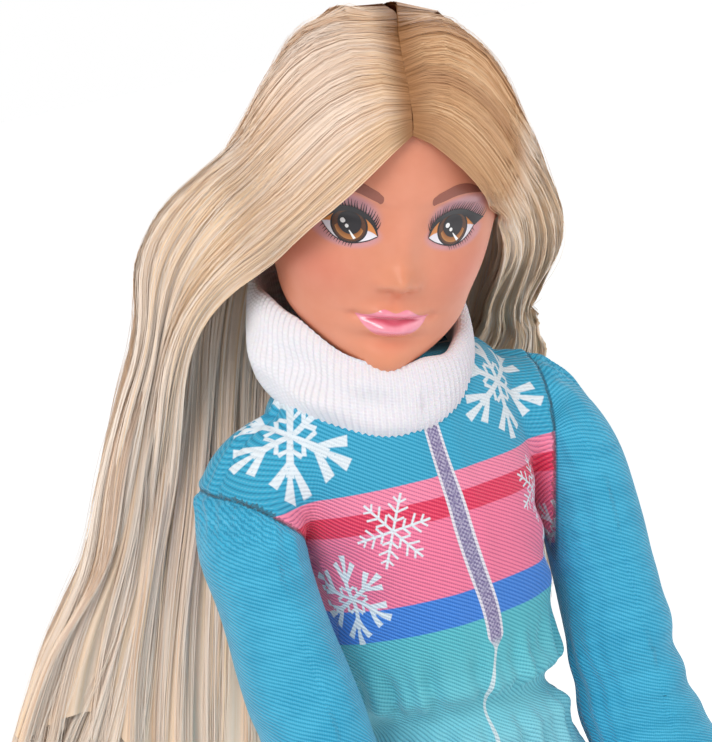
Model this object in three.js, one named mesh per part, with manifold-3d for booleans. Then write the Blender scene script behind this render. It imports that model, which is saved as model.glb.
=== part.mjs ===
// A standing fashion doll, about 29 cm tall, in a one-piece winter suit with a knitted roll collar and snow boots.
// Millimetres, +Z up. The doll faces -Y, so its left side is +X. Every piece is a separate closed solid.
import * as THREE from "three";
import { mergeVertices } from "three/addons/utils/BufferGeometryUtils.js";
import Module from "manifold-3d";

const wasm = await Module();
wasm.setup();

// Heights of the skeleton, stacked from the floor, so a longer shin lifts all that is above it
const soleThickness = 3;
const ankleHeight = 18.5;
const shinLength = 69.5;
const thighLength = 67;
const pelvisHeight = 42;
const chestHeight = 38.5;
const neckRise = 11.5;
const headRise = 17;
const kneeZ = ankleHeight + shinLength;
const hipZ = kneeZ + thighLength;
const waistZ = hipZ + pelvisHeight;
const shoulderZ = waistZ + chestHeight;
const neckZ = shoulderZ + neckRise;

// Distance of the joints from the middle plane
const hipSpacing = 10.5;
const armholeX = 15.4;

// Gaps: round soft pieces, between turning pieces, and the overrun of a cut past the face it leaves by
const softGap = 0.35;
const runningGap = 0.35;
const cutOverrun = 2;

// Plastic body
const torsoWidth = 32;
const torsoDepth = 22;
const torsoWall = 1.8;
const neckRadius = 4.4;
const knobRadius = 5.6;
const knobHeight = 6;
const knobRise = 5;
const hipBallRadius = 8.6;
const thighRadius = 8.4;
const kneeRadius = 5.6;
const kneeWidth = 9;
const tongueWidth = 3.4;
const calfRadius = 5.6;
const axleRadius = 2.2;
const pinRadius = 1.2;
const stemWidth = 3;

// Head
const headHeight = 40;
const headWidth = 29.5;
const headDepth = 34;
const headWall = 1.8;
const headTilt = { forward: 20, side: 15, turn: -11 };
const hairLength = 95;
const partingWidth = 0.4;

// Arms
const armLength = 76;
const armRadius = 4.6;
const wristRadius = 2.9;
const armSpread = 2;
const forearmSpread = 11;
const armSwing = { left: 5, right: 20 };
const elbowBend = 19;
const pegRadius = 3.4;
const pegLength = 6;
const handLength = 19;
const handWidth = 7.6;
const handThickness = 3.2;

// Clothes
const clothThickness = 0.9;
const chestWidth = 34;
const chestDepth = 29;
const waistWidth = 26;
const waistDepth = 23;
const hipWidth = 42;
const hipDepth = 26;
const legTopRise = 2;
const elasticHeight = 4;
const elasticThickness = 1.2;
const trouserRadius = 10.1;
const trouserKneeRadius = 8.6;
const trouserHemRadius = 7.2;
const sleeveDepth = 14.6;
const sleeveHeight = 17.4;
const sleeveRadius = 6.4;
const sleeveWristRadius = 5;
const cuffLength = 8;
const cuffThickness = 1.1;
const collarWidth = 25.6;
const collarDepth = 26;
const collarThickness = 3;
const collarHeight = 10;
const closureWidth = 5;

// Boots
const bootHeight = 34;
const bootLength = 34;
const bootWidth = 17;
const bootCuffHeight = 6;
const bootCuffThickness = 2;

// Facets round a piece
const fineFacets = 28;
const clothFacets = 36;
const limbFacets = 12;
const smallFacets = 8;
const fingerFacets = 5;
const roundFacets = 16;
const headColumns = 34;
const headLevels = 27;

// Colours, as sRGB hex values
const skinColour = 0xdf967a;
const bodyColour = 0xe0a88c;
const hairColour = 0xe6c698;
const knitColour = 0xf1eff3;
const twillColour = 0x2c9fc0;
const elasticColour = 0x57b6c4;
const tapeColour = 0x2a8fb0;
const bootColour = 0xf2f2f6;
const steelColour = 0xb9bcc2;

// Basic tools

const vec = (x, y, z) => new THREE.Vector3(x, y, z);
const TAU = Math.PI * 2;
const degrees = (angle) => THREE.MathUtils.degToRad(angle);
const mix = THREE.MathUtils.lerp;
const smooth = (value, low, high) => THREE.MathUtils.smoothstep(value, low, high);
const swell = (distance, reach) => Math.exp(-(distance * distance) / (reach * reach));

// A smooth curve through the rows of a table, whose first column is the place along it
function tableAt(rows, place) {
  const last = rows.length - 1;
  let k = 0;
  while (k < last - 1 && rows[k + 1][0] < place) k += 1;
  const before = rows[Math.max(k - 1, 0)];
  const low = rows[k];
  const high = rows[k + 1];
  const after = rows[Math.min(k + 2, last)];
  const share = THREE.MathUtils.clamp((place - low[0]) / (high[0] - low[0]), 0, 1);
  const span = high[0] - low[0];
  const cube = share * share * share;
  const square = share * share;
  return low.slice(1).map((value, j) => {
    const column = j + 1;
    const startSlope = (high[column] - before[column]) / Math.max(high[0] - before[0], span) * span;
    const endSlope = (after[column] - value) / Math.max(after[0] - low[0], span) * span;
    return (2 * cube - 3 * square + 1) * value + (cube - 2 * square + share) * startSlope
      + (3 * square - 2 * cube) * high[column] + (cube - square) * endSlope;
  });
}

function geometryOf(points, faces) {
  const flat = new Float32Array(points.flatMap((p) => [p.x, p.y, p.z]));
  const geometry = new THREE.BufferGeometry();
  geometry.setAttribute("position", new THREE.BufferAttribute(flat, 3));
  let volume = 0;
  for (const [a, b, c] of faces) volume += points[a].dot(points[b].clone().cross(points[c]));
  const outward = volume < 0 ? faces.map(([a, b, c]) => [a, c, b]) : faces;
  geometry.setIndex(outward.flat());
  return geometry;
}

function gridFaces(faces, rows, columns, start, wrap, reverse) {
  const wide = wrap ? columns : columns - 1;
  for (let i = 0; i < rows - 1; i += 1) {
    for (let j = 0; j < wide; j += 1) {
      const a = start + i * columns + j;
      const b = start + i * columns + ((j + 1) % columns);
      const c = a + columns;
      const d = b + columns;
      const quad = reverse ? [[a, c, b], [b, c, d]] : [[a, b, c], [b, d, c]];
      faces.push(...quad);
    }
  }
}

// A solid skinned over closed rings, with both ends closed by a fan
function loft(rings) {
  const columns = rings[0].length;
  const points = rings.flat();
  const faces = [];
  gridFaces(faces, rings.length, columns, 0, true, false);
  for (const [ring, base, turned] of [
    [rings[0], 0, true],
    [rings[rings.length - 1], (rings.length - 1) * columns, false],
  ]) {
    const middle = ring.reduce((sum, p) => sum.add(p), vec(0, 0, 0)).divideScalar(columns);
    const hub = points.push(middle) - 1;
    for (let j = 0; j < columns; j += 1) {
      const a = base + j;
      const b = base + ((j + 1) % columns);
      faces.push(turned ? [a, hub, b] : [a, b, hub]);
    }
  }
  return geometryOf(points, faces);
}

// A wall between two grids of points: an open panel, or a tube where the rows close on themselves
function wall(outer, inner, wrap) {
  const rows = outer.length;
  const columns = outer[0].length;
  const points = [...outer.flat(), ...inner.flat()];
  const shift = rows * columns;
  const faces = [];
  gridFaces(faces, rows, columns, 0, wrap, false);
  gridFaces(faces, rows, columns, shift, wrap, true);
  const rim = (a, b) => faces.push([a, a + shift, b], [b, a + shift, b + shift]);
  const wide = wrap ? columns : columns - 1;
  const top = (rows - 1) * columns;
  for (let j = 0; j < wide; j += 1) {
    const next = (j + 1) % columns;
    rim(j, next);
    rim(top + next, top + j);
  }
  if (!wrap) {
    for (let i = 0; i < rows - 1; i += 1) {
      rim((i + 1) * columns, i * columns);
      rim(i * columns + columns - 1, (i + 1) * columns + columns - 1);
    }
  }
  return geometryOf(points, faces);
}

function solidOf(geometry) {
  const bare = geometry.clone();
  bare.deleteAttribute("normal");
  bare.deleteAttribute("uv");
  const merged = mergeVertices(bare, 1e-4);
  return new wasm.Manifold(new wasm.Mesh({
    numProp: 3,
    vertProperties: new Float32Array(merged.attributes.position.array),
    triVerts: new Uint32Array(merged.index.array),
  }));
}

function geometryFrom(solid) {
  const mesh = solid.getMesh();
  const places = new Float32Array(mesh.numVert * 3);
  for (let i = 0; i < mesh.numVert; i += 1) {
    for (let k = 0; k < 3; k += 1) places[i * 3 + k] = mesh.vertProperties[i * mesh.numProp + k];
  }
  const geometry = new THREE.BufferGeometry();
  geometry.setAttribute("position", new THREE.BufferAttribute(places, 3));
  geometry.setIndex(Array.from(mesh.triVerts));
  return geometry;
}

const cut = (geometry, ...tools) =>
  geometryFrom(tools.reduce((left, tool) => left.subtract(solidOf(tool)), solidOf(geometry)));
const join = (geometry, ...others) =>
  geometryFrom(others.reduce((left, other) => left.add(solidOf(other)), solidOf(geometry)));

// The largest body of a cut piece, without the crumbs that a cut can leave
function largest(geometry) {
  const bodies = solidOf(geometry).decompose();
  return geometryFrom(bodies.reduce((best, body) => (body.volume() > best.volume() ? body : best)));
}

const ball = (centre, radius, sides = limbFacets) =>
  new THREE.SphereGeometry(radius, sides, sides / 2).translate(centre.x, centre.y, centre.z);
const mirrored = (geometry) => {
  const flipped = geometry.clone().scale(-1, 1, 1);
  const faces = flipped.index.array;
  for (let i = 0; i < faces.length; i += 3) [faces[i], faces[i + 1]] = [faces[i + 1], faces[i]];
  return flipped;
};
const block = (low, high) => new THREE.BoxGeometry(high.x - low.x, high.y - low.y, high.z - low.z)
  .translate((low.x + high.x) / 2, (low.y + high.y) / 2, (low.z + high.z) / 2);

// A round rod along X from one place to the other
function rodAlongX(from, to, radius, y, z, sides = limbFacets) {
  return new THREE.CylinderGeometry(radius, radius, to - from, sides)
    .rotateZ(Math.PI / 2).translate((from + to) / 2, y, z);
}

// Points round a level section: half width, reach to the front (-Y) and to the back (+Y), with folds outwards.
// A section is an ellipse, or squarer where its power is over 2.
function levelRing({ width, front, back, x = 0, square = 2 }, z, count, fold = () => 0) {
  const bend = (value) => Math.sign(value) * Math.abs(value) ** (2 / square);
  return Array.from({ length: count }, (_, j) => {
    const angle = (TAU * j) / count;
    const out = fold(angle);
    const reach = Math.cos(angle) > 0 ? front : back;
    return vec(x + (width + out) * bend(Math.sin(angle)), -(reach + out) * bend(Math.cos(angle)), z);
  });
}

// Rings up a body. A row holds its height share, then half width, reach forward and reach back as shares.
function levelStack(rows, place, columns, steps, grow = 0, fold = () => 0) {
  const first = rows[0][0];
  const last = rows[rows.length - 1][0];
  return Array.from({ length: steps + 1 }, (_, i) => {
    const share = mix(first, last, i / steps);
    const [wide, front, back] = tableAt(rows, share);
    const section = {
      width: wide * place.width + grow,
      front: front * place.depth + grow,
      back: back * place.depth + grow,
      x: place.x,
      square: place.square,
    };
    return levelRing(section, place.z + share * place.height, columns, (angle) => fold(angle, share));
  });
}

const shiftRing = (ring, dz) => ring.map((p) => p.clone().setZ(p.z + dz));

// A ring of two half axes, round a centre, square to a direction. Its first half axis lies nearest to sideways.
function ringRound(centre, direction, wide, thick, sideways, count) {
  const along = direction.clone().normalize();
  const across = sideways.clone().addScaledVector(along, -sideways.dot(along)).normalize();
  const up = along.clone().cross(across);
  return Array.from({ length: count }, (_, j) => {
    const angle = (TAU * j) / count;
    return centre.clone().addScaledVector(across, wide * Math.cos(angle))
      .addScaledVector(up, thick * Math.sin(angle));
  });
}


// Plastic torso: two half shells that close round the neck post, the arm pegs and the hip bar

const torsoBottomZ = hipZ + trouserRadius + 2 * softGap;
const torsoRowsShares = [
  [0, 0.5, 0.38, 0.42],
  [0.075, 0.52, 0.4, 0.5],
  [0.227, 0.44, 0.36, 0.41],
  [0.448, 0.33, 0.32, 0.32],
  [0.59, 0.385, 0.37, 0.36],
  [0.72, 0.42, 0.49, 0.39],
  [0.815, 0.425, 0.55, 0.4],
  [0.92, 0.42, 0.43, 0.4],
  [1, 0.41, 0.34, 0.35],
  [1.036, 0.35, 0.29, 0.31],
  [1.065, 0.25, 0.25, 0.27],
];
const torsoPlace = { z: torsoBottomZ, height: shoulderZ - torsoBottomZ, width: torsoWidth, depth: torsoDepth };
const shoulderDropShare = 0.145;
const armZ = shoulderZ - chestHeight * shoulderDropShare;
const armFaceX = torsoRowsShares[6][1] * torsoWidth + runningGap;
const stemDepth = 2 * stemWidth;
const stemRise = 3 * torsoWall;
const flangeShare = 0.35;

function torsoShell() {
  const outer = levelStack(torsoRowsShares, torsoPlace, roundFacets, 10);
  const inner = levelStack(torsoRowsShares, torsoPlace, limbFacets, 6, -torsoWall);
  inner[0] = shiftRing(inner[0], torsoWall);
  inner[inner.length - 1] = shiftRing(inner[inner.length - 1], -torsoWall);
  const neckHole = new THREE.CylinderGeometry(neckRadius + runningGap, neckRadius + runningGap, neckRise, limbFacets)
    .rotateX(Math.PI / 2).translate(0, 0, shoulderZ + neckRise / 2);
  const halfStem = stemWidth / 2 + softGap;
  const stemHole = block(
    vec(-halfStem, -stemDepth / 2 - softGap, torsoBottomZ - cutOverrun),
    vec(halfStem, stemDepth / 2 + softGap, torsoBottomZ + stemRise),
  );
  const reach = torsoWidth / 2 + cutOverrun;
  const pegHoles = rodAlongX(-reach, reach, pegRadius + runningGap, 0, armZ);
  const room = armFaceX - pegLength + 0.3 * pegLength;
  const barbRoom = rodAlongX(-room, room, pegRadius * (1 + flangeShare) + runningGap, 0, armZ);
  return cut(loft(outer), loft(inner), neckHole, stemHole, pegHoles, barbRoom);
}

function torsoHalves() {
  const shell = torsoShell();
  const reach = torsoWidth;
  const seam = softGap / 2;
  const front = cut(shell, block(vec(-reach, -seam, 0), vec(reach, reach, neckZ)));
  const back = cut(shell, block(vec(-reach, -reach, 0), vec(reach, seam, neckZ)));
  return [largest(front), largest(back)];
}

// The neck post with its flange inside the chest and the mushroom knob that the soft head snaps over
function neckPost() {
  const flange = neckRadius * (1 + flangeShare);
  const flangeZ = armZ - pegRadius;
  const knobZ = neckZ + knobRise;
  const outline = [
    [0, flangeZ - torsoWall],
    [flange, flangeZ - torsoWall],
    [flange, flangeZ],
    [neckRadius, flangeZ + flange - neckRadius],
    [neckRadius, knobZ - knobHeight / 2],
    [knobRadius, knobZ - knobHeight / 4],
    [knobRadius, knobZ + knobHeight / 6],
    [knobRadius / 2, knobZ + knobHeight / 2],
    [0, knobZ + knobHeight / 2],
  ];
  const points = outline.map(([radius, height]) => new THREE.Vector2(radius, height));
  return new THREE.LatheGeometry(points, limbFacets).rotateX(Math.PI / 2);
}

// The hip bar: an axle for both legs on a stem that is held in the bottom of the torso
const axleReachShare = 0.4;
const axleEndX = hipSpacing * (1 + axleReachShare);
function hipBar() {
  const stem = block(
    vec(-stemWidth / 2, -stemDepth / 2, hipZ - axleRadius),
    vec(stemWidth / 2, stemDepth / 2, torsoBottomZ + stemRise - softGap),
  );
  const flangeZ = torsoBottomZ + torsoWall + softGap;
  const flange = block(
    vec(-stemDepth, -stemDepth * 0.6, flangeZ),
    vec(stemDepth, stemDepth * 0.6, flangeZ + torsoWall),
  );
  return join(rodAlongX(-axleEndX, axleEndX, axleRadius, 0, hipZ), stem, flange);
}

// Head sculpt, in the head's own frame: its middle at the origin and its face towards -Y

const headRowsShares = [
  [-0.5, 0.03, 0.3, -0.2],
  [-0.48, 0.08, 0.39, -0.1],
  [-0.44, 0.15, 0.42, 0.06],
  [-0.4, 0.24, 0.43, 0.15],
  [-0.34, 0.345, 0.43, 0.24],
  [-0.26, 0.41, 0.432, 0.32],
  [-0.16, 0.455, 0.435, 0.38],
  [-0.05, 0.482, 0.437, 0.42],
  [0.06, 0.496, 0.437, 0.45],
  [0.18, 0.492, 0.432, 0.47],
  [0.3, 0.455, 0.4, 0.455],
  [0.4, 0.375, 0.32, 0.4],
  [0.46, 0.27, 0.22, 0.3],
  [0.49, 0.14, 0.1, 0.18],
  [0.5, 0.03, 0, 0.05],
];

// Relief of the face, towards -Y: place across and up, reach across and up, height. Mirrored where it is off centre.
const faceReliefShares = [
  [0, -0.05, 0.04, 0.09, 0.04],
  [0, -0.135, 0.045, 0.035, 0.085],
  [0.06, -0.15, 0.035, 0.028, 0.03],
  [0.225, 0.015, 0.12, 0.055, -0.045],
  [0.22, 0.11, 0.17, 0.05, 0.012],
  [0.28, -0.14, 0.14, 0.1, 0.022],
  [0, -0.232, 0.13, 0.022, 0.034],
  [0, -0.258, 0.13, 0.01, -0.026],
  [0, -0.288, 0.11, 0.024, 0.042],
  [0, -0.34, 0.15, 0.025, -0.02],
  [0, -0.425, 0.1, 0.05, 0.03],
];

function faceRelief(x, z) {
  let height = 0;
  for (const [across, up, wide, tall, share] of faceReliefShares) {
    const places = across > 0 ? [across, -across] : [0];
    for (const place of places) {
      height += share * swell(x / headWidth - place, wide) * swell(z / headHeight - up, tall);
    }
  }
  return height * headDepth;
}

// Closed rings of the head, with its face where asked, grown outwards by a clearance
function headRings(grow, columns, levels, withFace) {
  return Array.from({ length: levels + 1 }, (_, i) => {
    const share = -0.5 * Math.cos((Math.PI * i) / levels);
    const [wide, face, rear] = tableAt(headRowsShares, share);
    const middle = ((rear - face) * headDepth) / 2;
    const half = ((rear + face) * headDepth) / 2 + grow;
    const z = share * (headHeight + 2 * grow);
    return Array.from({ length: columns }, (_unused, j) => {
      const even = (TAU * j) / columns;
      const angle = withFace ? even - frontCrowding * Math.sin(even) : even;
      const x = (wide * headWidth + grow) * Math.sin(angle);
      const forward = Math.cos(angle);
      const relief = withFace ? faceRelief(x, z) * smooth(forward, 0, 0.4) : 0;
      return vec(x, middle - half * forward - relief, z);
    });
  });
}

// Columns stand closer together on the face than behind
const frontCrowding = 0.45;
const headFrame = new THREE.Matrix4().makeTranslation(0, 0, neckZ)
  .multiply(new THREE.Matrix4().makeRotationZ(degrees(headTilt.turn)))
  .multiply(new THREE.Matrix4().makeRotationY(degrees(headTilt.side)))
  .multiply(new THREE.Matrix4().makeRotationX(degrees(headTilt.forward)))
  .multiply(new THREE.Matrix4().makeTranslation(0, 0, headRise));
const intoBody = (geometry) => geometry.clone().applyMatrix4(headFrame);
const headGrown = (grow) => intoBody(loft(headRings(grow, roundFacets, 9, false)));

// An ear low on the side of the head, where the hair covers all but its lobe
const earShares = { y: 0.06, z: -0.06, tall: 0.1, deep: 0.07, thick: 0.06 };
function ear() {
  return new THREE.SphereGeometry(1, smallFacets, smallFacets / 2)
    .scale(headWidth * earShares.thick, headDepth * earShares.deep, headHeight * earShares.tall)
    .translate(headWidth * 0.485, headDepth * earShares.y, headHeight * earShares.z);
}

function head() {
  const outside = join(loft(headRings(0, headColumns, headLevels, true)), ear(), mirrored(ear()));
  const hollow = loft(headRings(-headWall, limbFacets, 10, false));
  const throat = new THREE.CylinderGeometry(neckRadius + runningGap, neckRadius + runningGap, headHeight, limbFacets)
    .rotateX(Math.PI / 2).translate(0, 0, neckZ + knobRise - headHeight / 2);
  const room = new THREE.CylinderGeometry(knobRadius + runningGap, knobRadius + runningGap, knobHeight * 1.4, limbFacets)
    .rotateX(Math.PI / 2).translate(0, 0, neckZ + knobRise);
  return largest(cut(intoBody(outside), intoBody(hollow), throat, room));
}

// Rooted hair. The crown is a cap round the head, parted down the middle, and the lengths hang from its rim.
// Rows: height, reach to the doll's right, to its left, forward and back, as shares of the head's sizes.
const crownRowsShares = [
  [-0.34, 0.96, 0.72, 0.28, 0.65],
  [-0.275, 0.95, 0.79, 0.34, 0.66],
  [-0.175, 0.88, 0.8, 0.42, 0.66],
  [0.0125, 0.72, 0.71, 0.48, 0.63],
  [0.108, 0.585, 0.66, 0.48, 0.61],
  [0.215, 0.555, 0.61, 0.475, 0.58],
  [0.36, 0.49, 0.53, 0.425, 0.51],
  [0.485, 0.33, 0.4, 0.3, 0.39],
  [0.54, 0.2, 0.26, 0.18, 0.26],
  [0.575, 0.03, 0.03, 0.03, 0.06],
];

// The opening that the face looks out of, as places across and up
const hairlineShares = [
  [0, 0.31],
  [0.26, 0.215],
  [0.45, 0.09],
  [0.54, -0.12],
  [0.58, -0.7],
  [-0.6, -0.7],
  [-0.56, -0.2],
  [-0.52, -0.06],
  [-0.38, 0.08],
  [-0.2, 0.2],
];
const waveCount = 22;
const waveShare = 0.016;

function crownOuter() {
  const levels = 11;
  const first = crownRowsShares[0][0];
  const last = crownRowsShares[crownRowsShares.length - 1][0];
  const rings = Array.from({ length: levels + 1 }, (_, i) => {
    const share = mix(first, last, i / levels);
    const [right, left, front, back] = tableAt(crownRowsShares, share);
    return Array.from({ length: clothFacets }, (_unused, j) => {
      const angle = (TAU * j) / clothFacets;
      const wave = 1 + waveShare * Math.cos(waveCount * angle / 2);
      const wide = (Math.sin(angle) > 0 ? left : right) * headWidth * wave;
      const deep = (Math.cos(angle) > 0 ? front : back) * headDepth * wave;
      return vec(wide * Math.sin(angle), -deep * Math.cos(angle), share * headHeight);
    });
  });
  return loft(rings);
}

function faceWindow() {
  const outline = new THREE.Shape(hairlineShares.map(([across, up]) =>
    new THREE.Vector2(across * headWidth, up * headHeight)));
  const depth = headDepth;
  return new THREE.ExtrudeGeometry(outline, { depth, bevelEnabled: false })
    .rotateX(Math.PI / 2).translate(0, -headDepth * windowShare, 0);
}
const windowShare = 0.06;

function hairCrown() {
  const scalp = loft(headRings(softGap, limbFacets * 2, 12, false));
  const cap = cut(crownOuter(), scalp, faceWindow(), ear(), mirrored(ear()));
  const reach = headHeight;
  const half = partingWidth / 2;
  const right = cut(cap, block(vec(-half, -reach, -reach), vec(reach, reach, reach)));
  const left = cut(cap, block(vec(-reach, -reach, -reach), vec(half, reach, reach)));
  return [right, left].map((part) => largest(cut(intoBody(largest(part)), collarSolid(softGap))));
}

// Locks of the lengths. Rows: start across and back, end across and back, drop, half width, half thickness.
const lockShares = {
  hair_right_lengths: [
    [-0.215, 0.12, -0.525, 0.27, 0.88, 0.074, 0.048],
    [-0.18, 0.155, -0.42, 0.29, 0.98, 0.076, 0.052],
    [-0.12, 0.175, -0.33, 0.285, 1.03, 0.074, 0.052],
  ],
  hair_back_lengths: [
    [-0.05, 0.195, -0.235, 0.275, 1.06, 0.076, 0.052],
    [0.02, 0.195, -0.12, 0.26, 1.04, 0.076, 0.052],
    [0.09, 0.17, 0.01, 0.25, 0.98, 0.074, 0.048],
  ],
  hair_left_lengths: [
    [0.155, 0.11, 0.2, 0.235, 0.7, 0.062, 0.042],
  ],
};
const lockSteps = 8;
const lockWaveShare = 0.012;
const tipShare = 0.3;

function lock(row, grow, number) {
  const [x0, y0, x1, y1, drop, wide, thick] = row.map((share) => share * hairLength);
  const root = vec(0, 0, 0).applyMatrix4(headFrame);
  const rings = Array.from({ length: lockSteps + 1 }, (_, i) => {
    const t = i / lockSteps;
    const bend = smooth(t, 0, 0.9);
    const wave = lockWaveShare * hairLength * Math.sin(number + TAU * 1.5 * t) * t;
    const centre = root.clone().add(vec(mix(x0, x1, bend) + wave, mix(y0, y1, smooth(t, 0, 0.75)), -drop * t));
    const taper = mix(1, tipShare, smooth(t, 0.6, 1));
    return ringRound(centre, vec(0, 0, -1), wide * taper + grow, thick * taper + grow, vec(1, -0.4, 0), smallFacets);
  });
  return loft(rings);
}

function hairLengths() {
  const reach = 3 * headHeight;
  const rimShare = crownRowsShares[0][0];
  const aboveRim = intoBody(block(vec(-reach, -reach, rimShare * headHeight - softGap), vec(reach, reach, reach)));
  const clothes = [bodiceSolid(softGap), collarSolid(softGap), headGrown(softGap)];
  const earlier = [];
  return Object.entries(lockShares).map(([name, rows]) => {
    const number = earlier.length;
    const grown = join(...rows.map((row, k) => lock(row, softGap, number + k)));
    const plain = rows.length > 1 ? join(...rows.map((row, k) => lock(row, 0, number + k))) : lock(rows[0], 0, number);
    const piece = largest(cut(plain, aboveRim, ...clothes, ...earlier));
    earlier.push(grown);
    return [name, piece];
  });
}

// Knitted roll collar: a sloping tube, low under the chin and high at the nape, pushed up on the doll's right

const collarDropShare = 1;
const collarTopDropShare = 1.5;
const collarSideShare = 0.2;
const collarLeanShare = 0.1;
const collarShiftShare = -0.063;
const collarFootZ = shoulderZ + chestHeight * 0.195;
const frontness = (angle) => (1 + Math.cos(angle)) / 2;

function collarRing(share, inset, grow, lift = 0, columns = fineFacets) {
  return Array.from({ length: columns }, (_, j) => {
    const angle = (TAU * j) / columns;
    const front = frontness(angle);
    const low = collarFootZ - collarDropShare * collarHeight * front * front;
    const high = collarFootZ + collarHeight * (1 - collarTopDropShare * front * front - collarSideShare * Math.sin(angle));
    const z = mix(low, high, share) + lift;
    const lean = collarLeanShare * collarHeight * share;
    const rx = collarWidth / 2 - inset + grow;
    const ry = collarDepth / 2 - inset + grow;
    return vec(collarShiftShare * collarWidth + lean + rx * Math.sin(angle), -lean - ry * Math.cos(angle), z);
  });
}

// Rows of the roll: share of the height, inset from the widest line
const collarRollShares = [
  [0, 0.12],
  [0.25, 0.01],
  [0.55, 0],
  [0.85, 0.12],
  [1, 0.4],
];

function knitCollar() {
  const outer = collarRollShares.map(([share, inset]) => collarRing(share, inset * collarThickness, 0));
  const inner = collarRollShares.map(([share]) => collarRing(share, collarThickness, 0));
  return largest(cut(wall(outer, inner, true), headGrown(2 * softGap)));
}

// The room that the collar's own wall takes, with a gap round it
function collarRoom(grow) {
  const shares = [0, 0.5, 1];
  const lift = (share) => (share === 0 ? -grow : grow);
  return wall(
    shares.map((share) => collarRing(share, 0, grow, lift(share))),
    shares.map((share) => collarRing(share, collarThickness, -grow, lift(share))),
    true,
  );
}

function collarSolid(grow) {
  return loft([collarRing(0, 0, grow, -3 * grow), collarRing(1, 0, grow, collarThickness)]);
}

// Top of the suit: front and two back panels over the torso, cut away at the armholes and under the collar

const bodiceRowsShares = [
  [0, 0.385, 0.405, 0.38],
  [0.07, 0.42, 0.44, 0.4],
  [0.2, 0.45, 0.475, 0.42],
  [0.35, 0.458, 0.52, 0.43],
  [0.5, 0.46, 0.55, 0.43],
  [0.6, 0.464, 0.55, 0.42],
  [0.72, 0.515, 0.52, 0.41],
  [0.8, 0.535, 0.49, 0.41],
  [0.95, 0.54, 0.445, 0.4],
  [1.05, 0.535, 0.43, 0.4],
  [1.12, 0.495, 0.42, 0.4],
  [1.17, 0.43, 0.41, 0.395],
];
const bodiceZ = waistZ + elasticHeight / 2 + softGap;
const bodicePlace = { z: bodiceZ, height: shoulderZ - bodiceZ, width: chestWidth, depth: chestDepth };
const gatherCount = 9;
const gatherShare = 0.45;
const seamPlaceShare = 0.03;

// Folds of the cloth, in thicknesses: gathers above the elastic and a drag line below each armhole
function bodiceFold(angle, share) {
  const gathers = Math.cos(gatherCount * angle) * swell(share, 0.22);
  const drag = swell(Math.abs(Math.sin(angle)) - 0.82, 0.1) * swell(share - 0.5, 0.16) * (Math.cos(angle) > 0 ? 1 : 0);
  return clothThickness * (gatherShare * gathers + 0.7 * drag);
}

function bodiceSolid(grow) {
  return loft(levelStack(bodiceRowsShares, bodicePlace, clothFacets, 11, grow, bodiceFold));
}

function bodicePanels() {
  const outer = levelStack(bodiceRowsShares, bodicePlace, clothFacets, 11, 0, bodiceFold);
  const inner = levelStack(bodiceRowsShares, bodicePlace, clothFacets / 2, 7, -clothThickness, bodiceFold);
  inner[inner.length - 1] = shiftRing(inner[inner.length - 1], -clothThickness);
  inner.unshift(shiftRing(inner[0], -cutOverrun));
  const side = chestWidth;
  const armholes = [-1, 1].map((way) => {
    const near = armholeX * way;
    const far = side * way;
    return block(vec(Math.min(near, far), -side, 0), vec(Math.max(near, far), side, neckZ));
  });
  const neckline = loft([collarRing(0, 0, softGap, -softGap), collarRing(1, 0, softGap, collarHeight)]);
  const shoulder = armRadius * 1.14 + 2 * softGap;
  const armRoom = rodAlongX(-side, side, shoulder, 0, armZ);
  const shell = cut(loft(outer), loft(inner), neckline, collarRoom(softGap), armRoom, ...armholes);
  const seam = seamPlaceShare * chestDepth;
  const half = softGap / 2;
  const front = cut(shell, block(vec(-side, seam - half, 0), vec(side, side, headHeight + neckZ)));
  const back = cut(shell, block(vec(-side, -side, 0), vec(side, seam + half, headHeight + neckZ)));
  const right = cut(back, block(vec(-half, -side, 0), vec(side, side, headHeight + neckZ)));
  const left = cut(back, block(vec(-side, -side, 0), vec(half, side, headHeight + neckZ)));
  return [front, right, left].map(largest);
}

// The hook-and-loop tape that closes the back, inside the opening
const tapeRowsShares = [0.08, 0.98];
const tapeSteps = 8;
function closureTape() {
  const inset = clothThickness + softGap;
  const grid = (depth) => Array.from({ length: tapeSteps + 1 }, (_, i) => {
    const share = mix(tapeRowsShares[0], tapeRowsShares[1], i / tapeSteps);
    const [wide, , back] = tableAt(bodiceRowsShares, share);
    const half = closureWidth / 2;
    return [-1, -0.5, 0, 0.5, 1].map((across) => {
      const x = across * half;
      const rx = wide * chestWidth - depth;
      const ry = back * chestDepth + bodiceFold(Math.PI, share) - depth;
      return vec(x, ry * Math.sqrt(1 - (x / rx) ** 2), bodicePlace.z + share * bodicePlace.height);
    });
  });
  return wall(grid(inset), grid(inset + clothThickness), false);
}

const elasticRowsShares = [
  [0, 0.5, 0.49, 0.47],
  [0.5, 0.49, 0.48, 0.46],
  [1, 0.5, 0.49, 0.47],
];
function waistElastic() {
  const place = { z: waistZ - elasticHeight / 2, height: elasticHeight, width: waistWidth, depth: waistDepth };
  const ripple = (angle) => clothThickness * gatherShare * Math.cos(gatherCount * angle);
  const outer = levelStack(elasticRowsShares, place, clothFacets, 2, 0, ripple);
  const inner = levelStack(elasticRowsShares, place, clothFacets, 2, -elasticThickness, ripple);
  return wall(outer, inner, true);
}

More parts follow.
